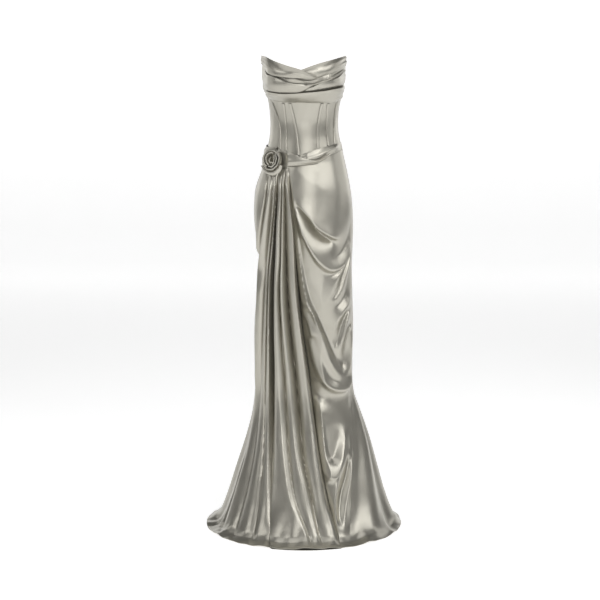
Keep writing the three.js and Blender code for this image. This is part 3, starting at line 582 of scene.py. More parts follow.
def film(lines):
    """Lift and lean of the cloth, solved from a coarse film to a fine one."""
    field = None
    for scale in FILM["scales"]:
        columns, rows = FILM["columns"] // scale, FILM["rows"] // scale
        grip = np.zeros((rows, columns))
        values = np.zeros((rows, columns, 3))
        for lifts, lean, path in lines:
            r, k, held, value = film_cells(path, lifts, lean, columns, rows)
            grip[r, k] = held
            values[r, k] = value
        for edge in (np.s_[0], np.s_[-1], np.s_[:, 0], np.s_[:, -1]):
            grip[edge], values[edge] = 1, 0
        if field is None:
            field = np.zeros((rows, columns, 3))
        else:
            field = np.repeat(np.repeat(field, 2, 0), 2, 1)[:rows, :columns]
        down = np.linspace(FILM["top"], HEM, rows)
        step_down = (HEM - FILM["top"]) / rows
        step_round = (FILM["last"] - FILM["first"]) * DEG / columns * FORM_AT[3](down)
        weight = ((step_down / step_round) ** 2)[:, None, None]
        field = relax(mix(field, values, grip[..., None]), grip, values, weight)
    return blur(field, FILM["blur"])


def sample(field, angle, down):
    """Lift, lean round and lean down of a film at places on the form."""
    rows, columns = field.shape[:2]
    k, r = film_place(angle, down, columns, rows)
    k, r = np.clip(k, 0, columns - 1.001), np.clip(r, 0, rows - 1.001)
    k0, r0 = k.astype(int), r.astype(int)
    tk, tr = (k - k0)[..., None], (r - r0)[..., None]
    upper = mix(field[r0, k0], field[r0, k0 + 1], tk)
    lower = mix(field[r0 + 1, k0], field[r0 + 1, k0 + 1], tk)
    made = mix(upper, lower, tr)
    return made[..., 0], made[..., 1], made[..., 2]


def leaned(angle, down, lean_s, lean_d):
    """Places moved round and down along the form, in millimetres."""
    return angle + lean_s / half_width(angle, down), np.minimum(down + lean_d, HEM)


# %% [markdown]
# ## The draped bust
# Six strips are folded over the corset, each one over the last, and their folds gather at the side
# seams. Every strip is a sheet between an upper and a lower edge, and fine gathers run along it.

# %% Bust folds
# lifts at the lower edge, the middle and the upper edge, and where the side seams gather a strip
BUST_FOLDS = [
    {
        "name": "bust_cowl_left",
        "upper": [(-34, 136), (-9, 147), (14, 156), (43, 166), (72, 174), (100, 182), (118, 187)],
        "lower": [(-34, 126), (0, 116), (29, 120), (43, 127), (72, 138), (100, 147), (118, 158)],
        "lifts": (2.6, 10.5, 6),
        "sewn": 3.4,
    },
    {
        "name": "bust_cowl_inner",
        "upper": [
            (-112, 152), (-80, 136), (-57, 128), (-29, 123), (0, 113), (29, 111), (72, 129), (112, 148),
        ],
        "lower": [
            (-112, 138), (-80, 121), (-57, 108), (-29, 100), (0, 98), (29, 101), (72, 120), (112, 138),
        ],
        "lifts": (2.6, 4.4, 4.8),
        "sewn": 1.6,
    },
    {
        "name": "bust_cowl_right",
        "upper": [(-118, 187), (-108, 185), (-72, 169), (-43, 158), (-14, 149), (9, 139), (31, 130)],
        "lower": [
            (-118, 163), (-106, 153), (-92, 140), (-72, 132), (-57, 129), (-29, 125), (0, 124),
            (31, 126),
        ],
        "lifts": (17, 20.5, 15),
        "sewn": 7.2,
    },
    {
        "name": "bust_fold_left",
        "upper": [(-34, 93), (0, 96), (20, 100), (43, 112), (72, 121), (100, 134), (118, 146)],
        "lower": [(-34, 80), (8, 80), (43, 83), (80, 88), (112, 92)],
        "lifts": (4.4, 8.2, 8.6),
        "sewn": 1.8,
    },
    {
        "name": "bust_fold_right",
        "upper": [
            (-118, 172), (-100, 139), (-80, 131), (-57, 121), (-34, 112), (-6, 108), (20, 109),
            (43, 117), (72, 127),
        ],
        "lower": [
            (-112, 84), (-80, 80), (-43, 80), (-14, 81), (0, 89), (20, 103), (43, 112), (72, 124),
        ],
        "lifts": (11.2, 15.5, 14.4),
        "sewn": 4.6,
    },
    {
        "name": "bust_band",
        "upper": [(-108, 94), (-80, 87), (14, 87), (43, 91), (80, 98), (110, 102)],
        "lower": [(-104, 67), (-86, 61), (-57, 56), (-14, 55), (43, 54), (86, 56), (104, 62)],
        "lifts": (3.2, 12.8, 17),
        "sewn": 3.2,
    },
]
SEWN_SHARE = 0.2
SIDE_SEAM, BUST_TAPER = 118, 34


def strip_points(strip, columns, rows, sign, cups, gathers):
    """Places of a strip between its two edges, which are given as x across and height or down."""
    u, v = spread(columns, rows)
    upper, lower = strip["upper"], strip["lower"]
    upper_at, lower_at = pairs(upper), pairs(lower)
    first = mix(upper[0][0], lower[0][0], v)
    last = mix(upper[-1][0], lower[-1][0], v)
    x = mix(first, last, u)
    down = sign * mix(upper_at(x), lower_at(x), v)
    angle = angle_at(x, down)
    low, middle, high = strip["lifts"]
    lift = mix(high, low, v) + 4 * v * (1 - v) * (middle - mix(high, low, 0.5))
    for k, end in enumerate(strip.get("ends", ())):
        away = 1 - u if k else u
        lift = mix(end, lift, ease(away / SEWN_SHARE))
    if cups:
        reach = (SIDE_SEAM - np.abs(x)) / BUST_TAPER
        end = strip["sewn"] + (lift - mix(high, low, v)) * 0.3
        lift = mix(end, lift, ease(reach))
        lift = lift + cup_lift(angle, down)
    lift = lift + gathers(u, v)
    return stand_off(angle, down, lift)


def bust_gathers(seed):
    """Small pleats that start at the side seams and die out towards the middle."""

    def gathers(u, v):
        near = np.exp(-(((1 - np.abs(2 * u - 1)) / 0.34) ** 2))
        wave = np.sin(v * 11 + seed) + 0.6 * np.sin(v * 19 - 2.1 * seed + 3 * u)
        soft = 0.5 * np.sin(v * 6 + 4 * u + seed)
        return (0.9 * near * wave + 0.5 * soft) * ease(v * 6) * ease((1 - v) * 6)

    return gathers


def bust():
    for seed, strip in enumerate(BUST_FOLDS):
        points = strip_points(strip, 110, 26, -1, True, bust_gathers(seed))
        sheet(strip["name"], points)


bust()
print(len(BUST_FOLDS), "bust strips")

# %% [markdown]
# ## Lines of the skirt's folds
# The front left gore is caught up in swags that hang from the cascade to the side seam: these are
# lines for the film. The falling folds of the front right gore and of the cascade are long and
# close together, so they are given as crests and valleys by turns, and the cloth is rounded between
# one line and the next. Each line has its places and its lifts in millimetres off the form.

# %% Fold lines of the front
LEFT_SEAM = pairs([
    (60, 84), (240, 81), (420, 79), (600, 77), (780, 71), (900, 58.5), (1050, 42.5), (1185, 33),
    (HEM, 27.5),
])
RIGHT_SEAM = -80
UNDER_CASCADE = pairs([(60, -66), (383, -62), (676, -52), (964, -32), (1097, -12), (HEM, 12)])
# Falling folds, crests and valleys by turns from the right hip to the cascade's left edge:
# x across, then lift, at each distance down
PIPE_DOWN = (136, 200, 300, 400, 490, 610, 730, 860, 985, 1100, 1200, HEM)
PIPES = [
    ((-109, -111, -123, -134, -134.6, -144, -146, -150, -176, -208, -242, -268),
     (1, 8, 12, 10, 5, 3, 3, 3, 5, 6, 5, 2)),
    ((-105.5, -106, -117, -127.5, -131.5, -140, -143, -148, -171, -202, -235, -260),
     (0, -2, -6, -7, -4, -2, 0, 1, 1, 1, 1, 1)),
    ((-102, -101, -111, -121, -127.5, -135, -139, -145, -163, -194, -226, -250),
     (2, 9, 13, 15, 15, 12, 9, 6, 8, 11, 9, 3)),
    ((-92, -91, -99, -108, -115, -122, -128, -134, -148, -172, -198, -218),
     (2, -1, -6, -8, -8, -7, -4, 0, 0, 0, 1, 1)),
    ((-86, -85, -92, -99, -104, -110, -114, -120, -130, -148, -168, -184),
     (4, 9, 13, 15, 15, 14, 12, 9, 9, 11, 9, 3)),
    ((-82, -81, -88, -95, -100, -105, -108, -113, -119, -130, -146, -158),
     (3, 3, 3, 3, 3, 3, 3, 3, 2, 2, 2, 2)),
    ((-78.5, -79, -85, -90.5, -96, -99.5, -101.5, -106, -110, -116, -124, -130),
     (6, 11, 16, 20, 21, 21, 19, 14, 10, 8, 7, 3)),
    ((-74, -75.5, -82.5, -86, -89, -92, -92, -93.5, -96, -98, -98, -99),
     (4, -3, -13, -20, -23, -24, -22, -14, -6, -1, 1, 1)),
    ((-67, -63, -65.5, -65.5, -70, -71, -67, -63, -57, -41, 0, 10),
     (10, 18, 22, 25, 26, 26, 26, 24, 22, 18, 14, 6)),
    ((-62.5, -59.5, -61.5, -61.5, -66, -63, -56, -49, -41, -24, 12, 26),
     (9, 11, 11, 10, 9, 8, 8, 8, 9, 8, 6, 3)),
    ((-59, -57, -58.5, -58.5, -60, -55, -44, -34, -22, 4, 28, 44),
     (12, 17, 20, 22, 23, 23, 22, 22, 20, 17, 12, 5)),
    ((-55, -52, -51.5, -50, -48, -40, -27, -14, -2, 22, 44, 62),
     (9, 8, 3, -1, -4, -6, -6, -4, 0, 4, 4, 3)),
    ((-51, -44.5, -37.5, -33, -30.5, -18.5, -6, 8, 25, 48, 76, 92),
     (14, 20, 25, 28, 30, 30, 29, 28, 26, 22, 14, 5)),
    ((-44, -39, -31.5, -25.5, -18, -6, 14, 31, 48, 69, 96, 108),
     (4, 1, -8, -16, -20, -23, -23, -17, -9, -2, 1, 1)),
]
CASCADE_RIGHT, CASCADE_LEFT = 7, 13
PIPE_CURVES = [(curve(PIPE_DOWN, xs), curve(PIPE_DOWN, lifts)) for xs, lifts in PIPES]
CREST_ROUND = 2.1
# crests that lean over the valley beside them: line, shift across
PIPE_LEANS = {4: 3, 6: 5.5, 8: -3, 12: 7}
# lifts, lean, path
SWAG_LINES = [
    # the lowest swag: its outer lip, the dip inside it, its inner crest and the trough
    ([10, 16, 20, 24, 26, 27, 26, 18, 6], 9,
     [(-40, 162), (-34, 240), (-20, 371), (-5, 489), (19, 608), (43, 722), (80, 781), (113, 789),
      (133, 679)]),
    ([-4, -2, 2, 5, 5, 2], 0, [(2, 620), (20, 700), (44, 765), (82, 806), (120, 808), (137, 770)]),
    ([14, 14, 14, 14, 13, 11], 0, [(4, 560), (16, 610), (36, 668), (56, 718), (80, 757), (100, 772)]),
    ([20, 23, 24, 24, 22, 16], -5, [(2, 530), (22, 590), (46, 638), (66, 705), (91, 750), (108, 765)]),
    ([5, 0, -4, -6, -7, -6, -4, 0], 0,
     [(-34, 211), (-20, 318), (-3, 430), (12, 500), (50, 590), (78, 660), (96, 705), (106, 740)]),
    # the middle swag: the lip of the hip panel, its pocket, the long crest and the hollow under it
    ([8, 16, 22, 27, 28, 26, 12], 15,
     [(-22, 214), (-1, 242), (21, 266), (45, 301), (70, 317), (89, 330), (101, 348)]),
    ([4, -3, -8, -9, -8, -2], 0, [(-20, 228), (0, 256), (22, 282), (44, 317), (66, 336), (88, 348)]),
    ([6, 17, 24, 28, 28, 25, 20, 13, 7], 8,
     [(-30, 236), (-12, 280), (18, 359), (48, 407), (76, 428), (104, 412), (118, 392), (128, 368),
      (133, 345)]),
    ([4, 6, 7, 7, 5, 2], 0, [(-8, 320), (14, 378), (40, 424), (74, 446), (108, 430), (126, 398)]),
    ([10, 5, 2, 1, 1], 0, [(80, 396), (96, 390), (112, 368), (126, 336), (137, 290)]),
    # small crests that climb to the side seam, with the valleys between them
    ([3, 10, 13, 13, 11, 7], 4, [(138, 351), (126, 390), (112, 427), (98, 455), (79, 501), (57, 547)]),
    ([1, 1, 1, 2, 4], 0, [(138, 372), (126, 408), (113, 444), (99, 488), (80, 528)]),
    ([3, 9, 11, 10, 8, 5], 4, [(138, 386), (128, 423), (119, 455), (107, 503), (90, 528), (70, 541)]),
    ([1, 0, 0, 1, 3], 0, [(139, 410), (131, 446), (122, 490), (112, 520), (92, 548)]),
    ([6, 8, 9, 9, 6], 0, [(65, 438), (51, 475), (46, 520), (49, 534), (57, 547)]),
    ([3, 12, 13, 9, 4], 4, [(134, 520), (124, 545), (113, 561), (96, 588), (79, 614)]),
    ([0, -2, -3, -3, -2], 0, [(136, 548), (122, 568), (111, 596), (100, 640), (90, 672)]),
    ([3, 11, 12, 9, 3], 3, [(133, 540), (124, 580), (117, 612), (107, 659), (99, 703)]),
    ([0, -4, -4, 2], 0, [(137, 585), (127, 640), (117, 700), (110, 742)]),
    ([4, 12, 12, 10], 0, [(136, 600), (133, 665), (127, 738), (119, 768)]),
    # the low swag over the hem and the two tall folds beside it
    ([8, 11, 14, 17, 19, 19, 16, 12, 9], 7,
     [(36, 800), (42, 870), (48, 935), (56, 990), (68, 1032), (82, 1040), (96, 1006), (108, 950),
      (118, 890)]),
    ([5, 3, 2, 1, 2, 4], 0, [(56, 850), (64, 915), (72, 965), (82, 990), (92, 960), (102, 900)]),
    ([3, 12, 17, 18, 14, 4], 4,
     [(135, 940), (120, 999), (100, 1047), (92, 1087), (92, 1155), (106, 1210)]),
    ([2, -3, -5, -3, 3], 0, [(132, 975), (122, 1045), (107, 1090), (102, 1140), (108, 1190)]),
    ([3, 12, 14, 11, 6], 0, [(139, 960), (134, 1037), (123, 1105), (116, 1150), (118, 1205)]),
    ([4, 1, 1, 2], 0, [(128, 813), (130, 870), (134, 930), (136, 985)]),
    # the hem breaks over the floor
    ([6, 9, 6], 0, [(22, 1148), (38, 1167), (58, 1192)]),
]
# Flutes of the back gores: share across, where it starts, height
BACK_LEFT_FLUTES = [(0.17, 700, 15), (0.42, 560, 19), (0.58, 760, 12), (0.83, 600, 18)]
BACK_RIGHT_FLUTES = [(0.2, 640, 17), (0.4, 740, 12), (0.6, 540, 19), (0.8, 690, 14)]
FLUTE = {"reach": 0.13, "grows": 420}
# Small creases on the cloth between: height over the film, path
CREASES = [
    (2.0, [(-35, 128), (-11, 150), (15, 172), (42, 189), (61, 202)]),
    (1.2, [(88, 160), (104, 190), (120, 214)]),
    (3.0, [(8, 1129), (3, 1151), (10, 1178), (18, 1206)]),
    (2.4, [(0, 880), (18, 980), (40, 1070), (64, 1150)]),
    (2.0, [(60, 1080), (66, 1120), (80, 1170), (98, 1215)]),
    (2.2, [(12, 420), (22, 462), (34, 500), (52, 560)]),
    (1.8, [(90, 600), (84, 630), (88, 668)]),
]
# %% [markdown]
# ## Solving the film
# The film is held along the swags, the cascade's edge and the left side seam. It is solved once, then
# each small crease is set by its height over that film, and the film is solved again with them.

# %% Front film
def on_left_seam(down):
    return float(half_width(1, down)) * math.sin(float(LEFT_SEAM(down)) * DEG)


EDGE_LINES = [
    (list(PIPES[CASCADE_LEFT][1]), 0, list(zip(PIPES[CASCADE_LEFT][0], PIPE_DOWN))),
    ([0, 0], 0, [(on_left_seam(down), down) for down in range(120, 1262, 60)]),
]
FRONT_FILM = film(SWAG_LINES + EDGE_LINES)
creased = []
for height, path in CREASES:
    x, down = np.array(path, float).T
    under = sample(FRONT_FILM, angle_at(x, down), down)[0]
    creased.append((list(under + height), 0, path))
FRONT_FILM = film(SWAG_LINES + EDGE_LINES + creased)
highest = round(float(FRONT_FILM[..., 0].max()), 1)
print("film over", len(SWAG_LINES), "fold lines, lifts to", highest, "mm")

# %% [markdown]
# ## Falling folds and the hem
# Between a crest and the next valley the cloth falls in a rounded slope, steepest at the valley, as
# a tube of satin does. Near the floor every fold runs out, and the hem breaks into small waves.

# %% Pipes and hem waves
# down where the leans begin and how far they take to grow, where they end and how far before
LEANS_FROM, LEANS_TO = (180, 150), (1150, 300)
HEM_EASE = 40


def pipes(x, down):
    """Lift and shift across of the falling folds at places across and down."""
    seam = -half_width(-1, down) * math.sin(-RIGHT_SEAM * DEG)
    xs = [seam] + [line[0](down) for line in PIPE_CURVES]
    lifts = [0 * down] + [line[1](down) for line in PIPE_CURVES]
    made, shift = np.where(x > xs[-1], lifts[-1], 0 * x), 0 * x
    for k in range(len(xs) - 1):
        t = np.clip((x - xs[k]) / (xs[k + 1] - xs[k]), 0, 1)
        rising = lifts[k + 1] > lifts[k]
        share = np.where(rising, 1 - (1 - t) ** CREST_ROUND, t**CREST_ROUND)
        inside = (x >= xs[k]) & (x < xs[k + 1])
        made = np.where(inside, mix(lifts[k], lifts[k + 1], share), made)
        ends = PIPE_LEANS.get(k - 1, 0), PIPE_LEANS.get(k, 0)
        shift = np.where(inside, mix(ends[0], ends[1], ease(t)), shift)
    fade = ease((down - LEANS_FROM[0]) / LEANS_FROM[1]) * ease((LEANS_TO[0] - down) / LEANS_TO[1])
    return made * ease((HEM + 8 - down) / HEM_EASE), shift * fade


# count round, phase, height
HEM_WAVES = [(11, 0.4, 1.6), (17, 1.9, 1.2), (29, 0.7, 0.8), (43, 2.6, 0.5)]
HEM_BREAKS = {"from": 1120, "over": 110, "rise": 2.2}


def hem_waves(angle, down):
    """Small breaks of the hem where it lies on the floor."""
    made = 0
    for count, phase, high in HEM_WAVES:
        made = made + high * np.sin(count * angle + phase + 0.02 * (down - HEM))
    return (made + HEM_BREAKS["rise"]) * ease((down - HEM_BREAKS["from"]) / HEM_BREAKS["over"])


# %% [markdown]
# ## The skirt's gores
# Four gores hang from the corset, and each is one sheet between two seams. At a seam the lifts of
# both neighbours come down to nothing, so that their edges meet as sewn ones do. Where a front gore
# goes under the cascade it is tucked in behind it. The back gores open out in soft flutes.

# %% Skirt gores
# how far the outer faces of the hems lie over the floor
GORE_REST, CASCADE_REST = 1.2, 2.6
# down where the gores leave the sash, and how far their folds take to grow
SETTLES = (112, 50)


def flutes(table, u, down):
    """Soft flutes that grow towards the hem."""
    lift = 0 * u
    for across, start, height in table:
        share = np.clip(np.abs(u - across) / FLUTE["reach"], 0, 1)
        lift += height * ease((down - start) / FLUTE["grows"]) * (1 - share**2) ** 2
    return lift


# lift of the cloth under the cascade and how far it takes to go down, the steepest rise beside the
# cascade's edge, and how far from the side seam the folds take to rise
UNDER_LIFT, UNDER_RUN = -26, 7
EDGE_RISE = 1.5
SEAM_EASE = 14


def tucked(lift, angle, down, line, side):
    """Lift of cloth that goes down under the cascade beyond one of its edges."""
    edge = angle_at(PIPE_CURVES[line][0](down), down)
    clear = ease(side * (angle - edge) * FORM_AT[3](down) / UNDER_RUN + 1)
    return mix(np.where(down < PIPE_DOWN[0], lift, UNDER_LIFT), lift, clear)


def right_lift(angle, down, u):
    lift, shift = pipes(on_form(angle, down)[..., 0], down)
    from_seam = (angle - RIGHT_SEAM * DEG) * FORM_AT[3](down)
    lift = lift * ease((down - SETTLES[0]) / SETTLES[1]) * ease(from_seam / SEAM_EASE)
    lift = tucked(lift, angle, down, CASCADE_RIGHT, -1)
    return lift + hem_waves(angle, down), shift, 0 * u


def left_lift(angle, down, u):
    lift, lean_s, lean_d = sample(FRONT_FILM, angle, down)
    x_edge, edge_lift = [at(down) for at in PIPE_CURVES[CASCADE_LEFT]]
    beyond = (angle - angle_at(x_edge, down)) * FORM_AT[3](down)
    lift = np.minimum(lift, edge_lift - 1 + np.clip(beyond, 0, None) * EDGE_RISE)
    lift = tucked(lift, angle, down, CASCADE_LEFT, 1)
    return lift + hem_waves(angle, down), lean_s, lean_d


def back_lift(table):
    def lift(angle, down, u):
        settled = ease((down - SETTLES[0]) / SETTLES[1]) * ease((HEM + 6 - down) / HEM_EASE)
        return flutes(table, u, down) * settled + hem_waves(angle, down), 0 * u, 0 * u

    return lift


def gore(name, first, last, columns, rows, lift):
    u, v = spread(columns, rows)
    top = corset_foot(mix(first(90.0), last(90.0), u) / DEG) + SEAM_GAP
    down = mix(top, HEM, v)
    half = SEAM_GAP / 2 / FORM_AT[3](down)
    angle = mix(first(down) + half, last(down) - half, u)
    lifted, lean_s, lean_d = lift(angle, down, u)
    angle, down = leaned(angle, down, lean_s, lean_d)
    points = stand_off(angle, down, lifted)
    points[..., 2] = np.maximum(points[..., 2], FLOOR + GORE_REST)
    sheet(name, points)


def right_seam(down):
    return RIGHT_SEAM * DEG + 0 * down


def left_seam(down):
    return LEFT_SEAM(down) * DEG


def under_seam(down):
    return angle_at(UNDER_CASCADE(down), down)


gore("skirt_front_right", right_seam, under_seam, 84, 330, right_lift)
gore("skirt_back_left", left_seam, back_seam(1), 110, 150, back_lift(BACK_LEFT_FLUTES))
gore("skirt_back_right", back_seam(-1), right_seam, 90, 150, back_lift(BACK_RIGHT_FLUTES))
gore("skirt_front_left", under_seam, left_seam, 112, 400, left_lift)

# %% [markdown]
# ## The cascade
# A long strip is gathered into the rosette and falls over the seam between the front gores in deep
# pipes that open out as they go. Its top is sewn down, so it starts close to the gores.

# %% Cascade
SEWN_LIFT, SEWN_RUN, LAYER = 2.2, 50, 2.4


def cascade():
    u, v = spread(100, 360)
    down = mix(PIPE_DOWN[0], HEM, v)
    right, left = [PIPE_CURVES[k][0](down) for k in (CASCADE_RIGHT, CASCADE_LEFT)]
    x = mix(right, left, u)
    angle = angle_at(x, down)
    sewn = ease((down - PIPE_DOWN[0]) / SEWN_RUN)
    lift, shift = pipes(mix(right + 0.01, left - 0.01, u), down)
    lift = mix(SEWN_LIFT, lift + LAYER + hem_waves(angle, down), sewn)
    angle = angle + shift / half_width(angle, down)
    points = stand_off(angle, down, lift)
    points[..., 2] = np.maximum(points[..., 2], FLOOR + CASCADE_REST)
    sheet("cascade", points)


cascade()

# %% [markdown]
# ## The sash
# Two twisted strips cross the front of the hips, and a plain band goes round the back to the zip.

# %% Sash
# angle, top, foot, lift
SASH_BACK = np.array([
    (-262, 66, 92, 7), (-230, 64, 102, 7), (-180, 66, 106, 7), (-130, 70, 112, 7), (-95, 76, 124, 8),
    (-70, 78, 134, 8), (-46, 76, 132, 7),
], float)
# the two pieces meet at the zip
SASH_ENDS = [("left", -262, -181), ("right", -179, -46)]
SASH_ROUND, SASH_SEWN = 2.8, 16


def twist_pleats(u, v):
    return 0.9 * np.sin(v * 9 + 5 * u) * ease(u * 5) * ease((1 - u) * 5)


def sash():
    for strip in SASH_STRIPS:
        sheet(strip["name"], strip_points(strip, 90, 20, 1, False, twist_pleats))
    columns = [curve(SASH_BACK[:, 0], SASH_BACK[:, k]) for k in (1, 2, 3)]
    for name, first, last in SASH_ENDS:
        u, v = spread(int((last - first) * 0.9), 18)
        angle = mix(first, last, u)
        down = mix(columns[0](angle), columns[1](angle), v)
        pleats = 1.1 * np.sin(v * 13 + 0.02 * angle) * ease(v * 5) * ease((1 - v) * 5)
        lift = columns[2](angle) - SASH_ROUND * (2 * v - 1) ** 2 + pleats
        lift = mix(SEWN_LIFT, lift, ease((angle - SASH_BACK[0, 0]) / SASH_SEWN))
        sheet("sash_back_" + name, stand_off(angle * DEG, down, lift))


sash()

# %% [markdown]
# ## The rosette
# A bias strip is rolled into petals round a small base on the right hip, and the end of the strip
# hangs below it in a loop. The petals lean out and their rims are rolled.

# %% Rosette
ROSETTE = {"x": -80, "down": 114, "lift": 10.4, "base": 27, "curl": 2.4, "uneven": 1.5}
# start, sweep, inner radius, outer radius, height
PETALS = [
    (200, 235, 26, 31, 20), (20, 215, 22.5, 27, 22), (245, 175, 18.5, 22.5, 23),
    (75, 170, 14.5, 18.5, 22), (285, 150, 10, 14, 20), (120, 165, 5.5, 9, 17),
]
LOOP = {
    "path": [(-106, 135.5), (-99, 146.5), (-88, 152.5), (-76, 150.5), (-66, 140.5), (-60, 128.5)],
    "width": 15,
    "lift": 18,
    "bulge": 7,
}


def outward_frame(x, down, lift):
    """Place and axes of a thing that looks out of the cloth."""
    angle = angle_at(np.float64(x), np.float64(down))
    here = stand_off(angle, np.float64(down), np.float64(lift))
    outward = stand_off(angle, np.float64(down), np.float64(lift + 10)) - here
    outward /= np.linalg.norm(outward)
    across = np.cross((0, 0, 1), outward)
    across /= np.linalg.norm(across)
    return here, across, np.cross(outward, across), outward


def around(axes, radius, turn, height):
    """Places round a thing's middle."""
    here, across, up, outward = axes
    x, y, z = [part[..., None] for part in (radius * np.cos(turn), radius * np.sin(turn), height)]
    return here + x * across + y * up + z * outward


def rosette():
    axes = outward_frame(ROSETTE["x"], ROSETTE["down"], ROSETTE["lift"])
    for number, (start, sweep, inner, outer, height) in enumerate(PETALS, 1):
        u, rise = spread(60, 22)
        turn = (start + sweep * u) * DEG
        tip = np.sin(math.pi * u) ** 0.5
        uneven = ROSETTE["uneven"] * np.sin(2 * turn + 0.95 * number) * rise if number > 1 else 0
        radius = mix(inner, outer, rise * rise) + 0.5 * np.sin(9 * turn) * rise - 0.65 + uneven
        curl = ease((rise - 0.8) / 0.2)
        z = 0.3 + (height - 0.3) * np.sin(rise * 1.5) * mix(0.72, 1, tip) - 2.0 * curl * curl
        points = around(axes, radius + ROSETTE["curl"] * curl, turn, z)
        node = f"rosette_petal_{number}"
        sheet(node, points[::-1, ::-1], thick=0.9, name=f"satin_petal_{number}")
    steps = np.linspace(0.5, ROSETTE["base"], 10), np.linspace(0, 2 * math.pi, 40)
    radius, turn = np.meshgrid(*steps, indexing="ij")
    dish = 1.2 * np.sin(5 * turn) * (radius / ROSETTE["base"])
    points = around(axes, radius, turn, dish * 0.2 - 0.3)
    sheet("rosette_base", points[::-1], thick=1.2, flat=(0.055, 0.055))


def rosette_loop():
    path = np.array(LOOP["path"])
    steps = np.arange(len(path))
    across, middle = curve(steps, path[:, 0]), curve(steps, path[:, 1])
    u, v = spread(60, 16)
    k = u * (len(path) - 1)
    run_x, run_y = across(k + 0.05) - across(k - 0.05), middle(k + 0.05) - middle(k - 0.05)
    size = np.hypot(run_x, run_y)
    wide = LOOP["width"] * (v - 0.5) * np.sin(math.pi * mix(0.2, 0.8, u))
    down = middle(k) + run_x / size * wide
    x = across(k) - run_y / size * wide
    lift = LOOP["lift"] + LOOP["bulge"] * 4 * v * (1 - v)
    sheet("rosette_loop", stand_off(angle_at(x, down), down, lift))


rosette()
rosette_loop()

# %% [markdown]
# ## The back zip
# The tape runs up the middle of the back, and its coil teeth lie along the middle of the tape.

# %% Zip
ZIP = {"width": 9, "lift": 1.75, "top": -110, "foot": 225, "teeth": 0.35, "step": 3, "coil": 1.2}
BACK_DEPTH = 84


def zip_tape():
    half = ZIP["width"] / 2
    u, v = spread(19, 240)
    down = mix(ZIP["top"], ZIP["foot"], v)
    coil = np.exp(-(((2 * u - 1) * half) ** 2) / ZIP["coil"])
    teeth = ZIP["teeth"] * coil * (1 + np.cos(down * 2 * math.pi / ZIP["step"]))
    angle = math.pi + mix(-half, half, u) / BACK_DEPTH
    points = stand_off(angle, down, ZIP["lift"] + teeth)
    sheet("back_zip", points, thick=0.8, name="satin_zip_tape")


zip_tape()

# %% [markdown]
# ## The slider's metal
# The slider and its pull tab keep their shapes from the part and get a brushed nickel finish.

# %% Metal
def nickel():
    """Brushed nickel: a fine grain in tone, gloss and height."""
    shade = Shade("nickel")
    brushed = shade.node("TexNoise", Vector=shade.place("Object"), Scale=900.0, Detail=4.0)
    tone = shade.colour(brushed, (0.5, 0.49, 0.46, 1), (0.66, 0.65, 0.61, 1))
    bump = shade.node("Bump", Strength=0.2, Distance=0.0001, Height=brushed)
    return shade.finish(Base_Color=tone, Metallic=1.0, Roughness=brushed * 0.16 + 0.2, Normal=bump)


NICKEL = nickel()
for name in ("zip_slider", "zip_pull_tab"):
    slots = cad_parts[name].data.materials
    slots.clear()
    slots.append(NICKEL)

# %% [markdown]
# ## The floor
# The gown stands on a plain pale floor that curves up far behind it, as a roll of studio paper does.
# It glows a little, so that it stays white and fills the undersides of the folds.

# %% Floor
# the floor's ends, where it begins to curve up, the curve's run and radius, and where its wall begins
FLOOR_RUN = {"front": -16, "end": 9, "bend": 5.4, "over": 1.6, "radius": 1.02, "wall": 7.0}
FLOOR_WIDTH, FLOOR_STEPS = 16, 60
PAPER, PAPER_GLOW = 0.86, 0.6


def paper():
    shade = Shade("paper")
    grain = shade.node("TexNoise", Vector=shade.place("Object"), Scale=3.0)
    tones = [(tone, tone, tone, 1) for tone in (PAPER, PAPER + 0.02)]
    return shade.finish(
        Base_Color=shade.colour(grain, *tones),
        Roughness=0.9,
        Emission_Color=(1, 1, 1, 1),
        Emission_Strength=PAPER_GLOW,
    )


def studio():
    bpy.ops.object.select_all(action="DESELECT")
    bpy.ops.mesh.primitive_grid_add(x_subdivisions=2, y_subdivisions=FLOOR_STEPS, size=1)
    floor = bpy.context.object
    floor.name = "floor"
    run = np.linspace(FLOOR_RUN["front"], FLOOR_RUN["end"], FLOOR_STEPS + 1)
    bend = np.clip((run - FLOOR_RUN["bend"]) / FLOOR_RUN["over"], 0, 1) * math.pi / 2
    curved = run >= FLOOR_RUN["bend"]
    wall = np.clip(run - FLOOR_RUN["wall"], 0, None)
    y = np.where(curved, FLOOR_RUN["bend"] + FLOOR_RUN["radius"] * np.sin(bend), run)
    z = np.where(curved, FLOOR_RUN["radius"] * (1 - np.cos(bend)), 0) + wall
    for vertex in floor.data.vertices:
        row = int(round((vertex.co.y + 0.5) * FLOOR_STEPS))
        vertex.co = (vertex.co.x * FLOOR_WIDTH, y[row], z[row] + FLOOR * MM)
    bpy.ops.object.shade_smooth()
    floor.data.materials.append(paper())


studio()
print("floor at", FLOOR * MM, "m")

# %% [markdown]
# ## Lights and camera
# Satin shows its light: broad panels ahead and at a slant draw the long soft bands on its folds, the
# side panels edge the outline, and a small key light gives a sparkle. The camera looks slightly down
# on the gown from the front through a long lens.

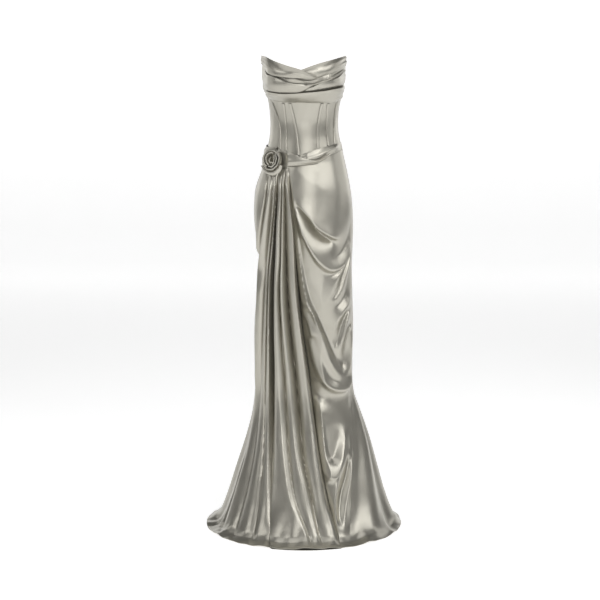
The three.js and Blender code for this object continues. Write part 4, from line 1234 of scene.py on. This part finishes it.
# %% Lights and camera
# name, place, target, size, power in watts
LIGHTS = [
    ("key", (1.5, -3.0, 1.9), (0, 0, -0.2), (0.9, 0.9), 12),
    ("front", (0.6, -4.7, 1.5), (0.1, 0, -0.6), (2.4, 1.5), 31),
    ("slant_left", (3.5, -2.6, 1.7), (0, 0, -0.7), (3.4, 1.9), 46),
    ("slant_right", (-3.5, -2.6, 1.7), (0, 0, -0.7), (3.4, 1.9), 33),
    ("side_left", (1.9, 0.8, 0.35), (0, 0.2, 0.35), (2.2, 1.1), 6.5),
    ("side_right", (-1.9, 0.8, 0.35), (0, 0.2, 0.35), (2.2, 1.1), 5.5),
    ("low_front", (0, -6.6, -0.5), (0, 0, -0.4), (5.0, 1.0), 28),
    ("overhead", (0, -1.4, 2.8), (0, -1.2, 0), (4.0, 3.6), 46),
]
WORLD = {"Color": (0.5, 0.5, 0.5, 1), "Strength": 0.15}
CAMERA = {"place": (-0.0124, -4.8, 0.22), "pitch": 8.95, "lens": 97.5, "sensor": 36}


def soft_light(name, place, target, size, power):
    bpy.ops.object.light_add(type="AREA", location=place)
    lamp = bpy.context.object
    lamp.name = name
    lamp.data.shape = "RECTANGLE"
    lamp.data.size, lamp.data.size_y = size
    lamp.data.energy = power
    away = Vector(place) - Vector(target)
    lamp.rotation_euler = away.to_track_quat("Z", "Y").to_euler()


def surroundings():
    world = bpy.data.worlds.new("studio")
    world.use_nodes = True
    for socket, value in WORLD.items():
        world.node_tree.nodes["Background"].inputs[socket].default_value = value
    bpy.context.scene.world = world
    bpy.context.scene.view_settings.view_transform = "Standard"


def camera():
    bpy.ops.object.camera_add(location=CAMERA["place"])
    eye = bpy.context.object
    eye.rotation_euler = (math.radians(90 - CAMERA["pitch"]), 0, 0)
    eye.data.lens = CAMERA["lens"]
    eye.data.sensor_width = CAMERA["sensor"]
    bpy.context.scene.camera = eye


for light in LIGHTS:
    soft_light(*light)
surroundings()
camera()
print(len(LIGHTS), "lights, lens", CAMERA["lens"], "mm")
